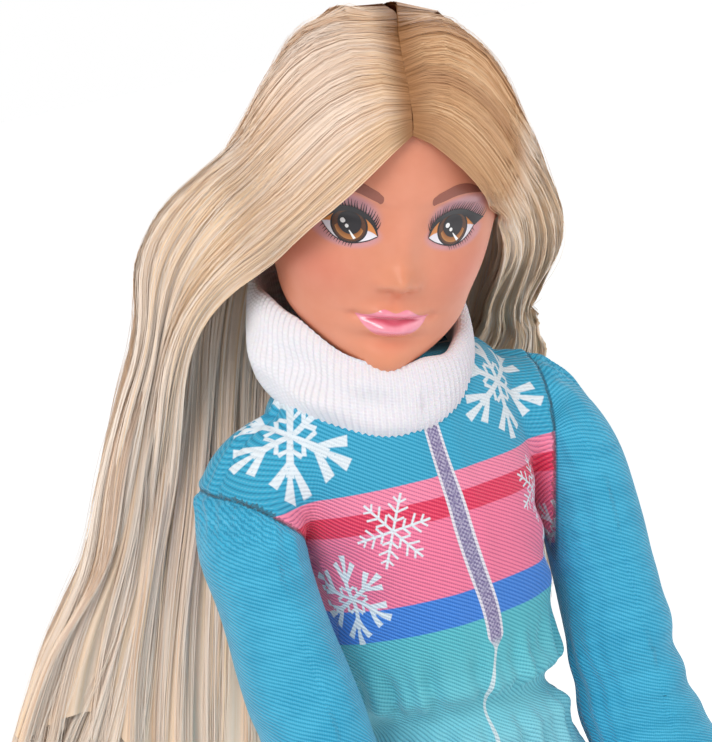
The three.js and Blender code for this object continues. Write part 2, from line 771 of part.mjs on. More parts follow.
// Seat of the suit, from the elastic down to the tops of the trouser legs
const seatRowsShares = [
  [0, 0.493, 0.41, 0.43],
  [0.15, 0.5, 0.44, 0.49],
  [0.35, 0.493, 0.455, 0.53],
  [0.6, 0.435, 0.455, 0.495],
  [0.8, 0.37, 0.45, 0.46],
  [0.93, 0.325, 0.44, 0.435],
  [1, 0.31, 0.43, 0.42],
];
function suitSeat() {
  const low = hipZ + legTopRise + softGap;
  const high = waistZ - elasticHeight / 2 - softGap;
  const place = { z: low, height: high - low, width: hipWidth, depth: hipDepth, square: 2.5 };
  const fold = (angle, share) => clothThickness * gatherShare
    * (Math.cos(gatherCount * angle) * smooth(share, 0.55, 1)
      + Math.cos(5 * angle) * swell(share - 0.2, 0.25));
  const outer = levelStack(seatRowsShares, place, clothFacets, 5, 0, fold);
  const inner = levelStack(seatRowsShares, place, clothFacets, 5, -clothThickness, fold);
  return join(wall(outer, inner, true), gusset());
}

// The strip that passes between the legs, round the hip line
function gusset() {
  const half = stemWidth / 2;
  const round = hipDepth * gussetShare;
  const strip = cut(
    rodAlongX(-half, half, round, 0, hipZ, clothFacets / 2),
    rodAlongX(-2 * half, 2 * half, round - clothThickness, 0, hipZ, clothFacets / 2),
  );
  const reach = hipDepth;
  return cut(strip, block(vec(-reach, -reach, hipZ + 2 * legTopRise), vec(reach, reach, waistZ)));
}
const gussetShare = 0.405;

// Arms. Each is soft vinyl on a peg that turns in the torso, and hangs a little forward inside its sleeve.

const sleeveX = armholeX + runningGap + sleeveRadius;
const upperArmShare = 0.45;
const foreSwing = degrees(elbowBend);
const along = (tilt, spread) => vec(Math.sin(spread), -Math.sin(tilt), -Math.cos(tilt)).normalize();
const alongUpper = along(0, degrees(armSpread));
const alongFore = along(foreSwing, degrees(forearmSpread));
const armTop = vec(sleeveX, -sleeveRadius * 0.25, armZ - sleeveHeight / 2);
const elbow = armTop.clone().addScaledVector(alongUpper, armLength * upperArmShare);
const wrist = elbow.clone().addScaledVector(alongFore, armLength * (1 - upperArmShare) - sleeveHeight / 2);

// Centres and directions down the arm, from its face at the shoulder to the wrist
function armStation(share) {
  const shoulderPoint = vec(armholeX + runningGap, 0, armZ);
  const curve = new THREE.CatmullRomCurve3([
    shoulderPoint,
    vec(mix(shoulderPoint.x, sleeveX, 0.62), 0, armZ - sleeveHeight * 0.09),
    armTop,
    armTop.clone().lerp(elbow, 0.5),
    elbow,
    elbow.clone().lerp(wrist, 0.5),
    wrist,
  ], false, "centripetal");
  const direction = curve.getTangentAt(share).lerp(vec(1, 0, 0), 1 - smooth(share, 0, 0.12)).normalize();
  return { centre: curve.getPointAt(share), direction };
}

// Rows down the sleeve: place along, half depth and half thickness as shares of the armhole or of the sleeve
const sleeveRowsShares = [
  [0, 1.09, 1.39],
  [0.06, 1.12, 1.3],
  [0.13, 1.12, 1.08],
  [0.25, 1.08, 1],
  [0.44, 1.2, 1.06],
  [0.54, 1.2, 1.06],
  [0.64, 1.1, 1],
  [0.76, 1.02, 0.94],
  [0.88, 0.96, 0.9],
  [0.96, 0.78, 0.78],
  [1, 0.7, 0.7],
];

function sleeveRing(row, inset) {
  const [share, deep, thick] = row;
  const { centre, direction } = armStation(share);
  const wide = (share === 0 ? sleeveDepth / 2 : deep * sleeveRadius) - inset;
  const tall = (share === 0 ? sleeveHeight / 2 : thick * sleeveRadius) - inset;
  const ring = ringRound(centre, direction, wide, tall, vec(0, 1, 0), limbFacets);
  const crease = clothThickness * 0.5 * Math.sin(share * TAU * 4);
  return ring.map((p, j) => p.add(direction.clone().multiplyScalar(crease * Math.sin((2 * TAU * j) / limbFacets))));
}

const besideBodice = () => block(
  vec(0, -armLength, 0),
  vec(armholeX + runningGap, armLength, shoulderZ + armLength),
);

function sleeve() {
  const outer = sleeveRowsShares.map((row) => sleeveRing(row, 0));
  const inner = sleeveRowsShares.map((row) => sleeveRing(row, clothThickness));
  return largest(cut(wall(outer, inner, true), besideBodice()));
}

function cuff() {
  const direction = alongFore;
  const start = wrist.clone().addScaledVector(direction, softGap);
  const ring = (t, radius) => ringRound(
    start.clone().addScaledVector(direction, t * cuffLength),
    direction, radius, radius, vec(0, 1, 0), limbFacets,
  );
  const bulgeShares = [1, 1.06, 1.06, 1];
  const outer = bulgeShares.map((share, i) => ring(i / (bulgeShares.length - 1), share * (sleeveWristRadius - softGap)));
  const inner = bulgeShares.map((share, i) => ring(i / (bulgeShares.length - 1), sleeveWristRadius - softGap - cuffThickness));
  return wall(outer, inner, true);
}

// A hand with four fingers and a thumb, hanging along -Z with its palm towards the body
const fingerShares = [
  [-0.36, 0.4],
  [-0.12, 0.46],
  [0.12, 0.44],
  [0.35, 0.36],
];
const palmRowsShares = [
  [0, 0.8, 0.36, 0.36],
  [-0.15, 0.55, 0.43, 0.41],
  [-0.35, 0.48, 0.48, 0.46],
  [-0.52, 0.42, 0.49, 0.47],
  [-0.58, 0.3, 0.42, 0.4],
];

function finger(from, to, radius) {
  const direction = to.clone().sub(from);
  const rings = [[0, 1], [0.6, 0.92], [0.92, 0.7], [1, 0.3]].map(([share, size]) => ringRound(
    from.clone().addScaledVector(direction, share), direction, radius * size, radius * size, vec(1, 0, 0), fingerFacets,
  ));
  return loft(rings);
}

function hand() {
  const place = { z: 0, height: handLength, width: handThickness, depth: handWidth };
  const rows = palmRowsShares.slice().reverse();
  const palm = loft(levelStack(rows, place, smallFacets, 5));
  const fingerRadius = handWidth / 8.4;
  const root = -0.5 * handLength;
  const fingers = fingerShares.map(([across, reach]) => {
    const y = across * handWidth;
    return finger(vec(0, y, root), vec(-handThickness * 0.2, y * 1.06, root - reach * handLength), fingerRadius);
  });
  const thumb = finger(
    vec(0, -0.3 * handWidth, -0.16 * handLength),
    vec(-handThickness * 0.35, -0.78 * handWidth, -0.55 * handLength),
    fingerRadius * 1.15,
  );
  return join(palm, ...fingers, thumb).rotateX(-foreSwing).rotateY(-degrees(forearmSpread));
}

const armRowsShares = [
  [0, 1.1],
  [0.08, 1.14],
  [0.16, 1.06],
  [0.3, 0.92],
  [0.48, 0.84],
  [0.6, 0.86],
  [0.8, 0.74],
  [1, 0.64],
];

function arm() {
  const rings = armRowsShares.map(([share, size]) => {
    const { centre, direction } = armStation(share);
    return ringRound(centre, direction, size * armRadius, size * armRadius, vec(0, 1, 0), limbFacets);
  });
  const face = rings[0].map((p) => p.clone().setX(armFaceX));
  const past = ringRound(
    wrist.clone().addScaledVector(alongFore, cuffLength + 4 * softGap), alongFore,
    wristRadius, wristRadius * 0.9, vec(0, 1, 0), limbFacets,
  );
  const limb = loft([face, ...rings, past]);
  const peg = rodAlongX(armFaceX - pegLength, armFaceX + pegLength / 2, pegRadius, 0, armZ);
  const flangeRadius = pegRadius * (1 + flangeShare);
  const barb = rodAlongX(armFaceX - pegLength, armFaceX - pegLength * 0.75, flangeRadius, 0, armZ);
  const handPlace = wrist.clone().addScaledVector(alongFore, cuffLength + 2 * softGap);
  return join(limb, peg, barb, hand().translate(handPlace.x, handPlace.y, handPlace.z));
}

// Legs. The thigh hangs on the hip bar and carries the knee in a fork.

const thighRowsShares = [
  [0, 0.36, 0.37, 0.37],
  [0.12, 0.365, 0.385, 0.38],
  [0.4, 0.42, 0.45, 0.43],
  [0.75, 0.49, 0.5, 0.5],
  [0.92, 0.5, 0.5, 0.51],
  [1, 0.49, 0.49, 0.5],
];
const shinRowsShares = [
  [0, 0.36, 1.2, 0.5],
  [0.03, 0.4, 1.25, 0.52],
  [0.07, 0.38, 1.02, 0.5],
  [0.11, 0.35, 0.68, 0.45],
  [0.16, 0.3, 0.4, 0.38],
  [0.25, 0.29, 0.31, 0.33],
  [0.42, 0.34, 0.34, 0.42],
  [0.52, 0.38, 0.38, 0.5],
  [0.7, 0.48, 0.46, 0.6],
  [0.88, 0.5, 0.49, 0.55],
  [1, 0.49, 0.5, 0.5],
];
const kneeGap = 3 * runningGap;
const kneeSide = { low: hipSpacing - kneeWidth / 2, high: hipSpacing + kneeWidth / 2 };
const pinInset = 0.08 * kneeWidth;

function thigh() {
  const place = { z: kneeZ, height: thighLength, width: 2 * thighRadius, depth: 2 * thighRadius, x: hipSpacing };
  const limb = loft(levelStack(thighRowsShares, place, limbFacets, 7));
  const hipBall = ball(vec(hipSpacing, 0, hipZ), hipBallRadius, smallFacets);
  const knuckle = rodAlongX(kneeSide.low, kneeSide.high, kneeRadius, 0, kneeZ);
  const halfSlot = tongueWidth / 2 + runningGap;
  const slot = block(
    vec(hipSpacing - halfSlot, -thighRadius, kneeZ - kneeRadius - cutOverrun),
    vec(hipSpacing + halfSlot, thighRadius, kneeZ + kneeRadius + runningGap),
  );
  const axleBore = rodAlongX(0, axleEndX + runningGap, axleRadius + runningGap, 0, hipZ);
  const pinBore = rodAlongX(kneeSide.low - cutOverrun, kneeSide.high + cutOverrun, pinRadius + softGap, 0, kneeZ, smallFacets);
  return cut(join(limb, hipBall, knuckle), slot, axleBore, pinBore);
}

const kneePin = () => rodAlongX(kneeSide.low + pinInset, kneeSide.high - pinInset, pinRadius, 0, kneeZ, smallFacets);

const footZ = soleThickness + clothThickness + 2 * softGap;
function shin() {
  const top = kneeZ - kneeRadius - kneeGap;
  const place = { z: footZ, height: top - footZ, width: 2 * calfRadius, depth: 2 * calfRadius, x: hipSpacing };
  const limb = loft(levelStack(shinRowsShares, place, limbFacets, 14));
  const eye = kneeRadius - runningGap / 2;
  const tongue = rodAlongX(hipSpacing - tongueWidth / 2, hipSpacing + tongueWidth / 2, eye, 0, kneeZ);
  const web = block(
    vec(hipSpacing - tongueWidth / 2, -eye * 0.7, top - cutOverrun),
    vec(hipSpacing + tongueWidth / 2, eye * 0.7, kneeZ),
  );
  const pinBore = rodAlongX(kneeSide.low, kneeSide.high, pinRadius + softGap, 0, kneeZ, smallFacets);
  return cut(join(limb, tongue, web), pinBore);
}

// Trouser legs, each cut at the knee, where the cloth creases

const kneeClothShare = 1.1;
const kneeClothZ = kneeZ + kneeRadius * kneeClothShare;

function trouserTube(low, high, rows, folds) {
  const place = { z: low, height: high - low, width: 2 * trouserRadius, depth: 2 * trouserRadius, x: hipSpacing };
  const outer = levelStack(rows, place, limbFacets, folds.steps, 0, folds.fold);
  const inner = levelStack(rows, place, limbFacets, folds.steps, -clothThickness, folds.fold);
  return wall(outer, inner, true);
}

const upperLegShares = [
  [0.35, 0.46, 0.47, 0.47],
  [0.75, 0.49, 0.5, 0.5],
  [1, 0.49, 0.49, 0.49],
];
function trouserUpper() {
  const kneeShare = trouserKneeRadius / trouserRadius / 2;
  const rowsShares = [[0, kneeShare, kneeShare, kneeShare], ...upperLegShares];
  const fold = (angle, share) => clothThickness * 0.3 * Math.sin(2 * angle + TAU * share) * swell(share - 0.5, 0.35);
  const tube = trouserTube(kneeClothZ, hipZ + legTopRise, rowsShares, { steps: 5, fold });
  const stem = rodAlongX(0, stemWidth / 2 + softGap, trouserRadius + cutOverrun / 2, 0, hipZ);
  const axle = rodAlongX(0, axleRadius * 2, axleRadius + softGap, 0, hipZ);
  return largest(cut(tube, stem, axle));
}

function trouserLower() {
  const knee = trouserKneeRadius / trouserRadius / 2;
  const hem = trouserHemRadius / trouserRadius / 2;
  const tucked = (bootWidth * 0.46 - clothThickness * 1.6 - softGap) / trouserRadius / 2;
  const rowsShares = [
    [0, tucked, tucked, tucked],
    [0.1, tucked, tucked, tucked],
    [0.22, hem * 1.14, hem * 1.16, hem * 1.2],
    [0.5, hem * 1.1, hem * 1.1, hem * 1.24],
    [0.85, knee, knee, knee * 1.04],
    [1, knee, knee, knee],
  ];
  const fold = (angle, share) => clothThickness * 0.5 * Math.cos(TAU * share * 3 + angle) * swell(share - 0.3, 0.22);
  const low = soleThickness + bootHeight - bootCuffHeight / 2;
  return trouserTube(low, kneeClothZ - softGap, rowsShares, { steps: 8, fold });
}

// Snow boots: an upper with room for the foot, a treaded sole and a soft roll round the top

const bootRowsShares = [
  [0, 0.48, 0.58, 0.3],
  [0.1, 0.49, 0.585, 0.3],
  [0.22, 0.475, 0.54, 0.295],
  [0.34, 0.455, 0.42, 0.285],
  [0.46, 0.44, 0.31, 0.27],
  [0.6, 0.455, 0.25, 0.26],
  [0.8, 0.47, 0.255, 0.265],
  [1, 0.485, 0.265, 0.275],
];
const bootPlace = {
  z: soleThickness + softGap, height: bootHeight, width: bootWidth, depth: bootLength, x: hipSpacing,
};

function boot() {
  const outer = levelStack(bootRowsShares, bootPlace, roundFacets, 8);
  const inner = levelStack(bootRowsShares, bootPlace, limbFacets, 5, -clothThickness * 1.6);
  const floor = shiftRing(inner[0], clothThickness);
  const open = shiftRing(inner[inner.length - 1], cutOverrun);
  return cut(loft(outer), loft([floor, ...inner.slice(1), open]));
}

const soleRimShare = 0.03;
const grooveShares = { from: -0.02, to: 0.09, deep: 0.35 };
function bootSole() {
  const [, wide, front, back] = bootRowsShares[1];
  const section = {
    width: (wide + soleRimShare) * bootWidth,
    front: (front + soleRimShare) * bootLength,
    back: (back + soleRimShare) * bootLength,
    x: hipSpacing,
  };
  const slab = loft([levelRing(section, 0, roundFacets), levelRing(section, soleThickness, roundFacets)]);
  const groove = block(
    vec(0, grooveShares.from * bootLength, -cutOverrun),
    vec(2 * hipSpacing, grooveShares.to * bootLength, grooveShares.deep * soleThickness),
  );
  return cut(slab, groove);
}

function bootCuff() {
  const low = soleThickness + bootHeight - bootCuffHeight * 0.7;
  const rollShares = [[0, 0], [0.3, 0.9], [0.7, 0.9], [1, 0]];
  const rings = (out) => rollShares.map(([share, bulge]) => {
    const z = low + share * bootCuffHeight;
    const place = Math.min((z - bootPlace.z) / bootHeight, 1);
    const [wide, front, back] = tableAt(bootRowsShares, place);
    const grow = softGap + out * (bootCuffThickness * 0.4 + bulge * bootCuffThickness * 0.6);
    return levelRing({
      width: wide * bootWidth + grow, front: front * bootLength + grow, back: back * bootLength + grow, x: hipSpacing,
    }, z, roundFacets);
  });
  return wall(rings(1), rings(0), true);
}

// Assembly

const finish = (colour, roughness, metalness = 0) => ({ color: colour, roughness, metalness });
const vinyl = finish(skinColour, 0.45);
const plastic = finish(bodyColour, 0.4);
const fibre = finish(hairColour, 0.4);
const knit = finish(knitColour, 0.9);
const twill = finish(twillColour, 0.75);
const elastic = finish(elasticColour, 0.8);
const tape = finish(tapeColour, 0.9);
const bootFoam = finish(bootColour, 0.6);
const steel = finish(steelColour, 0.35, 1);

const doll = new THREE.Group();

function add(name, geometry, look) {
  const mesh = new THREE.Mesh(geometry, new THREE.MeshStandardMaterial(look));
  mesh.name = name;
  doll.add(mesh);
}

function addPair(name, geometry, look) {
  add(`left_${name}`, geometry, look);
  add(`right_${name}`, mirrored(geometry), look);
}

// Both arms are alike, and each is swung forward about the line through the shoulders
const swung = (geometry, angle) =>
  geometry.clone().translate(0, 0, -armZ).rotateX(-degrees(angle)).translate(0, 0, armZ);

function addArmPair(name, geometry, look) {
  add(`left_${name}`, swung(geometry, armSwing.left), look);
  add(`right_${name}`, swung(mirrored(geometry), armSwing.right), look);
}

const [torsoFront, torsoBack] = torsoHalves();
add("torso_front", torsoFront, plastic);
add("torso_back", torsoBack, plastic);
add("neck_post", neckPost(), plastic);
add("hip_bar", hipBar(), plastic);

add("head", head(), vinyl);
const [crownRight, crownLeft] = hairCrown();
add("hair_crown_right", crownRight, fibre);
add("hair_crown_left", crownLeft, fibre);
for (const [name, geometry] of hairLengths()) add(name, geometry, fibre);

const [bodiceFront, bodiceBackRight, bodiceBackLeft] = bodicePanels();
add("bodice_front", bodiceFront, twill);
add("bodice_back_right", bodiceBackRight, twill);
add("bodice_back_left", bodiceBackLeft, twill);
add("closure_tape", closureTape(), tape);
add("knit_collar", knitCollar(), knit);
add("waist_elastic", waistElastic(), elastic);
add("suit_seat", suitSeat(), elastic);

addArmPair("arm", arm(), vinyl);
addArmPair("sleeve", sleeve(), twill);
addArmPair("cuff", cuff(), knit);
addPair("thigh", thigh(), plastic);
addPair("knee_pin", kneePin(), steel);
addPair("shin", shin(), plastic);
addPair("trouser_upper", trouserUpper(), twill);
addPair("trouser_lower", trouserLower(), twill);
addPair("boot", boot(), bootFoam);
addPair("boot_sole", bootSole(), bootFoam);
addPair("boot_cuff", bootCuff(), knit);

// The origin goes to the middle of the doll's own box, on the floor
doll.updateMatrixWorld(true);
const middle = new THREE.Box3().setFromObject(doll, true).getCenter(vec(0, 0, 0));
for (const mesh of doll.children) mesh.geometry.translate(-middle.x, -middle.y, 0);
console.log(`doll frame to origin: ${(-middle.x).toFixed(3)} ${(-middle.y).toFixed(3)}`);

export default doll;
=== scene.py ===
"""Fashion doll in a winter suit. All shapes are worked out in millimetres in the doll's own frame, facing -Y."""
import math
from functools import partial

import bpy
import numpy as np
from mathutils import Matrix, Vector
from mathutils.bvhtree import BVHTree


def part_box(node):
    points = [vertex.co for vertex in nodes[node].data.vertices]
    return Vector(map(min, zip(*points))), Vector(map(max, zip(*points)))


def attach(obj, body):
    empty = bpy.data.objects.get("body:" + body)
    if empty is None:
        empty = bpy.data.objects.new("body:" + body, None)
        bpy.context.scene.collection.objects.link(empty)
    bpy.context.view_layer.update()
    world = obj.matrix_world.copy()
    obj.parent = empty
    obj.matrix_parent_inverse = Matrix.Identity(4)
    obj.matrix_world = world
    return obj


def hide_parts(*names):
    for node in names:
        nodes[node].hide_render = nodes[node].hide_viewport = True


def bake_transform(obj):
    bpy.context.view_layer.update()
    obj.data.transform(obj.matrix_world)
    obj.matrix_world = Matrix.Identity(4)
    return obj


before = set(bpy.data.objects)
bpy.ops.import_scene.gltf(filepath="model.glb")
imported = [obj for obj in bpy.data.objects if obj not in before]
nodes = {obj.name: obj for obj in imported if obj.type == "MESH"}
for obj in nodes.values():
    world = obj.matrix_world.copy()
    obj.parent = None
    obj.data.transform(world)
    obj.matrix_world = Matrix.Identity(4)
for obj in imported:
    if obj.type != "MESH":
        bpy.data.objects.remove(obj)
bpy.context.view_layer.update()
TAU = 2 * math.pi
MM = 0.001
# The doll's left is +X
WAY = {"left": 1, "right": -1}

# Where the doll's own frame lies in the row frame, read from the two knee pins
pins = [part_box(f"{side}_knee_pin") for side in ("left", "right")]
shift = np.array([
    sum((low.x + high.x) / 2 for low, high in pins) / 2,
    sum((low.y + high.y) / 2 for low, high in pins) / 2,
    0.0,
])


def to_row(points):
    """Millimetres in the doll's frame to metres in the row frame."""
    return np.asarray(points, float) / 1000 + shift


# Sizes shared with the CAD part
KNEE_Z, WAIST_Z, SHOULDER_Z, NECK_Z = 88.0, 197.0, 235.5, 247.0
ARM_Z = 229.92
HEAD_W, HEAD_D, HEAD_H = 29.5, 34.0, 40.0
HIP_X = 10.5
ARMHOLE_X = 15.6

# Camera, fitted to the photograph: places in the doll's frame, lens in pixels of the picture
CAM_POS = np.array([-167.2, -403.4, 300.2])
CAM_RIGHT = np.array([0.893, -0.396, -0.215])
CAM_UP = np.array([0.251, 0.041, 0.967])
LENS_PX = 3548.0
PICTURE = (712, 742)


def make_camera():
    back = np.cross(CAM_RIGHT, CAM_UP)
    back /= np.linalg.norm(back)
    right = CAM_RIGHT / np.linalg.norm(CAM_RIGHT)
    up = np.cross(back, right)
    data = bpy.data.cameras.new("camera")
    data.sensor_fit = "HORIZONTAL"
    data.sensor_width = 36
    data.lens = LENS_PX * 36 / PICTURE[0]
    data.clip_start, data.clip_end = 0.01, 20
    cam = bpy.data.objects.new("camera", data)
    bpy.context.scene.collection.objects.link(cam)
    x, y, z = to_row(CAM_POS)
    cam.matrix_world = Matrix((
        (right[0], up[0], back[0], x),
        (right[1], up[1], back[1], y),
        (right[2], up[2], back[2], z),
        (0, 0, 0, 1),
    ))
    bpy.context.scene.camera = cam
    return right, up, back


cam_right, cam_up, cam_back = make_camera()


def ray(px, py):
    """Unit direction, in the doll's frame, of the view through a place of the picture."""
    across = (px - PICTURE[0] / 2) / LENS_PX
    down = (py - PICTURE[1] / 2) / LENS_PX
    way = across * cam_right - down * cam_up - cam_back
    return way / np.linalg.norm(way)


def at_depth(px, py, y):
    """The point seen at a place of the picture, at a depth y in the doll's frame."""
    way = ray(px, py)
    return CAM_POS + way * (y - CAM_POS[1]) / way[1]


# Small tools


def table_at(rows, place):
    """Reads rows of (place, values) at any places, with the smooth curve that the part uses."""
    rows = np.asarray(rows, float)
    place = np.asarray(place, float)
    last = len(rows) - 1
    k = np.clip(np.searchsorted(rows[:, 0], place, side="left") - 1, 0, last - 1)
    before, low, high, after = rows[np.maximum(k - 1, 0)], rows[k], rows[k + 1], rows[np.minimum(k + 2, last)]
    span = (high[..., 0] - low[..., 0])[..., None]
    t = np.clip((place - low[..., 0])[..., None] / span, 0, 1)
    m0 = (high[..., 1:] - before[..., 1:]) / np.maximum(high[..., :1] - before[..., :1], span) * span
    m1 = (after[..., 1:] - low[..., 1:]) / np.maximum(after[..., :1] - low[..., :1], span) * span
    return (
        (2 * t**3 - 3 * t**2 + 1) * low[..., 1:] + (t**3 - 2 * t**2 + t) * m0
        + (3 * t**2 - 2 * t**3) * high[..., 1:] + (t**3 - t**2) * m1
    )


def smooth(value, low, high):
    t = np.clip((np.asarray(value, float) - low) / (high - low), 0, 1)
    return t * t * (3 - 2 * t)


def swell(distance, reach):
    return np.exp(-(np.asarray(distance, float) / reach) ** 2)


def mix(a, b, t):
    return a + (b - a) * t


def unit(vectors):
    vectors = np.asarray(vectors, float)
    return vectors / np.maximum(np.linalg.norm(vectors, axis=-1, keepdims=True), 1e-9)


def waves(points, length, seed, count=10):
    """Smooth noise of about -1 to 1, with features of one length in mm."""
    dice = np.random.default_rng(seed)
    points = np.asarray(points, float)
    ways = unit(dice.normal(size=(count, points.shape[-1])))
    total = 0
    for way in ways:
        total = total + np.sin(points @ way * TAU / length * dice.uniform(0.6, 1.5) + dice.uniform(0, TAU))
    return total / math.sqrt(count)


def lengths_along(line):
    """Distance from the start of a line to each of its points."""
    return np.concatenate([[0], np.cumsum(np.linalg.norm(np.diff(line, axis=0), axis=1))])


def spline(points, samples):
    """Points evenly spaced in the parameter of a centripetal curve through the given ones."""
    points = np.asarray(points, float)
    gaps = np.linalg.norm(np.diff(points, axis=0), axis=1) ** 0.5
    knots = np.concatenate([[0], np.cumsum(gaps)])
    knots /= knots[-1]
    rows = np.column_stack([knots, points])
    return table_at(rows, np.linspace(0, 1, samples))


def between(low, high, rows):
    """Rows of points that lead from one line to another."""
    return mix(low[None], high[None], np.linspace(0, 1, rows)[:, None, None])


def cross_axes(tangent):
    """Two unit directions square to a line's own, the first as near to Y as can be."""
    across = unit(np.array([0, 1.0, 0]) - tangent * tangent[..., 1:2])
    return across, np.cross(tangent, across)


def rotation(axis, angle):
    return np.array(Matrix.Rotation(math.radians(angle), 3, axis))


def grid_faces(rows, columns, wrap=False, start=0):
    """Four-sided faces of a grid of points stored row by row."""
    i = np.arange(rows - 1)[:, None]
    j = np.arange(columns if wrap else columns - 1)[None, :]
    following = (j + 1) % columns
    a, b = i * columns + j, i * columns + following
    return np.stack([a, b, b + columns, a + columns], axis=-1).reshape(-1, 4) + start


def fan_faces(ring, centre, reverse=False):
    ring = np.asarray(ring)
    after = np.roll(ring, -1)
    faces = np.stack([ring, after, np.full(len(ring), centre)], axis=-1)
    return faces[:, ::-1] if reverse else faces


def mesh_object(name, points, face_sets, uvs=None, masks=None, material=None):
    """A smooth mesh from points in mm. uvs: names to two numbers a point, or to those and the period that the first
    wraps round by. masks: names to one or three numbers a point."""
    face_sets = [np.asarray(f, np.int32) for f in face_sets if len(f)]
    loops = np.concatenate([f.ravel() for f in face_sets]).astype(np.int32)
    sizes = np.concatenate([np.full(len(f), f.shape[1]) for f in face_sets])
    starts = np.concatenate([[0], np.cumsum(sizes)[:-1]]).astype(np.int32)
    mesh = bpy.data.meshes.new(name)
    mesh.vertices.add(len(points))
    mesh.vertices.foreach_set("co", to_row(points).astype(np.float32).ravel())
    mesh.loops.add(len(loops))
    mesh.loops.foreach_set("vertex_index", loops)
    mesh.polygons.add(len(sizes))
    mesh.polygons.foreach_set("loop_start", starts)
    mesh.update(calc_edges=True)
    mesh.shade_smooth()
    face_of = np.repeat(np.arange(len(sizes)), sizes)
    for layer_name, values in (uvs or {}).items():
        values, period = values if isinstance(values, tuple) else (values, None)
        corners = np.asarray(values, float)[loops]
        if period:
            highest = np.maximum.reduceat(corners[:, 0], starts)[face_of]
            corners[:, 0] += period * (corners[:, 0] < highest - period / 2)
        layer = mesh.uv_layers.new(name=layer_name)
        layer.uv.foreach_set("vector", corners.astype(np.float32).ravel())
    for mask_name, values in (masks or {}).items():
        values = np.asarray(values, np.float32)
        kind, key = ("FLOAT_VECTOR", "vector") if values.ndim == 2 else ("FLOAT", "value")
        mesh.attributes.new(mask_name, kind, "POINT").data.foreach_set(key, values.ravel())
    piece = bpy.data.objects.new(name, mesh)
    bpy.context.scene.collection.objects.link(piece)
    if material:
        mesh.materials.append(material)
    return piece


def colour(code):
    """A hex sRGB colour as linear red, green, blue and alpha."""
    parts = [int(code[i:i + 2], 16) / 255 for i in (1, 3, 5)]
    return [c / 12.92 if c <= 0.04045 else ((c + 0.055) / 1.055) ** 2.4 for c in parts] + [1.0]


# What a kind of node shares: inputs that its values go to in turn, the output that is read, and settings.
# Any other kind takes its values in the order of its inputs, and gives its first output.
NODE_KINDS = {
    "Mix": ((0, 6, 7), 2, {"data_type": "RGBA"}),
    "MapRange": (range(5), 0, {"interpolation_type": "SMOOTHSTEP"}),
    "TexNoise": (("Vector", "Scale", "Detail", "Roughness"), 0, {}),
    "Bump": (("Height", "Distance", "Strength"), 0, {}),
}


def put(tree, socket, value):
    """Links an output to a socket, or sets the socket, where a text is a hex colour."""
    if isinstance(value, bpy.types.NodeSocket):
        tree.links.new(value, socket)
    else:
        socket.default_value = colour(value) if isinstance(value, str) else value


def add_node(tree, kind, *values, out=None, **settings):
    """Adds a node by its kind, or its kind and operation, with settings and inputs, and gives one of its outputs."""
    kind, _, operation = kind.partition(" ")
    sockets, result, shared = NODE_KINDS.get(kind, (range(len(values)), 0, {}))
    node = tree.nodes.new("ShaderNode" + kind)
    if operation:
        node.operation = operation
    for key, value in {**shared, **settings}.items():
        setattr(node, key, value)
    for key, value in zip(sockets, values):
        put(tree, node.inputs[key], value)
    return node.outputs[result if out is None else out]


class Look:
    """A material, whose nodes are added one by one and end in the inputs of its shader."""

    def __init__(self, name, base, roughness, **settings):
        self.material = bpy.data.materials.new(name)
        self.material.use_nodes = True
        self.tree = self.material.node_tree
        self.add = partial(add_node, self.tree)
        self.shader = self.tree.nodes["Principled BSDF"]
        self.set(Base_Color=base, Roughness=roughness, **settings)

    def set(self, **inputs):
        """Sets or links inputs of the shader, named with _ for a space."""
        for key, value in inputs.items():
            put(self.tree, self.shader.inputs[key.replace("_", " ")], value)

    def uv(self, name):
        """The parts x and y of a UV map, in mm, and its vector."""
        vector = self.add("UVMap", uv_map=name)
        x, y, _ = self.add("SeparateXYZ", vector).node.outputs
        return x, y, vector

    def place(self):
        """Places on the object, in mm, so that a noise's scale is how many grains it has in a millimetre."""
        return self.add("VectorMath MULTIPLY", self.add("TexCoord", out="Object"), (1000, 1000, 1000))


# White stage and soft light

WORLD_LIGHT, PAPER_GLOW = 0.5, 0.5


def seen_directly(tree):
    """1 for rays of the camera, of mirrors and of glass, which show a white background."""
    rays = add_node(tree, "LightPath").node.outputs
    total = rays["Is Camera Ray"]
    for kind in ("Is Glossy Ray", "Is Transmission Ray"):
        total = add_node(tree, "Math MAXIMUM", total, rays[kind])
    return total


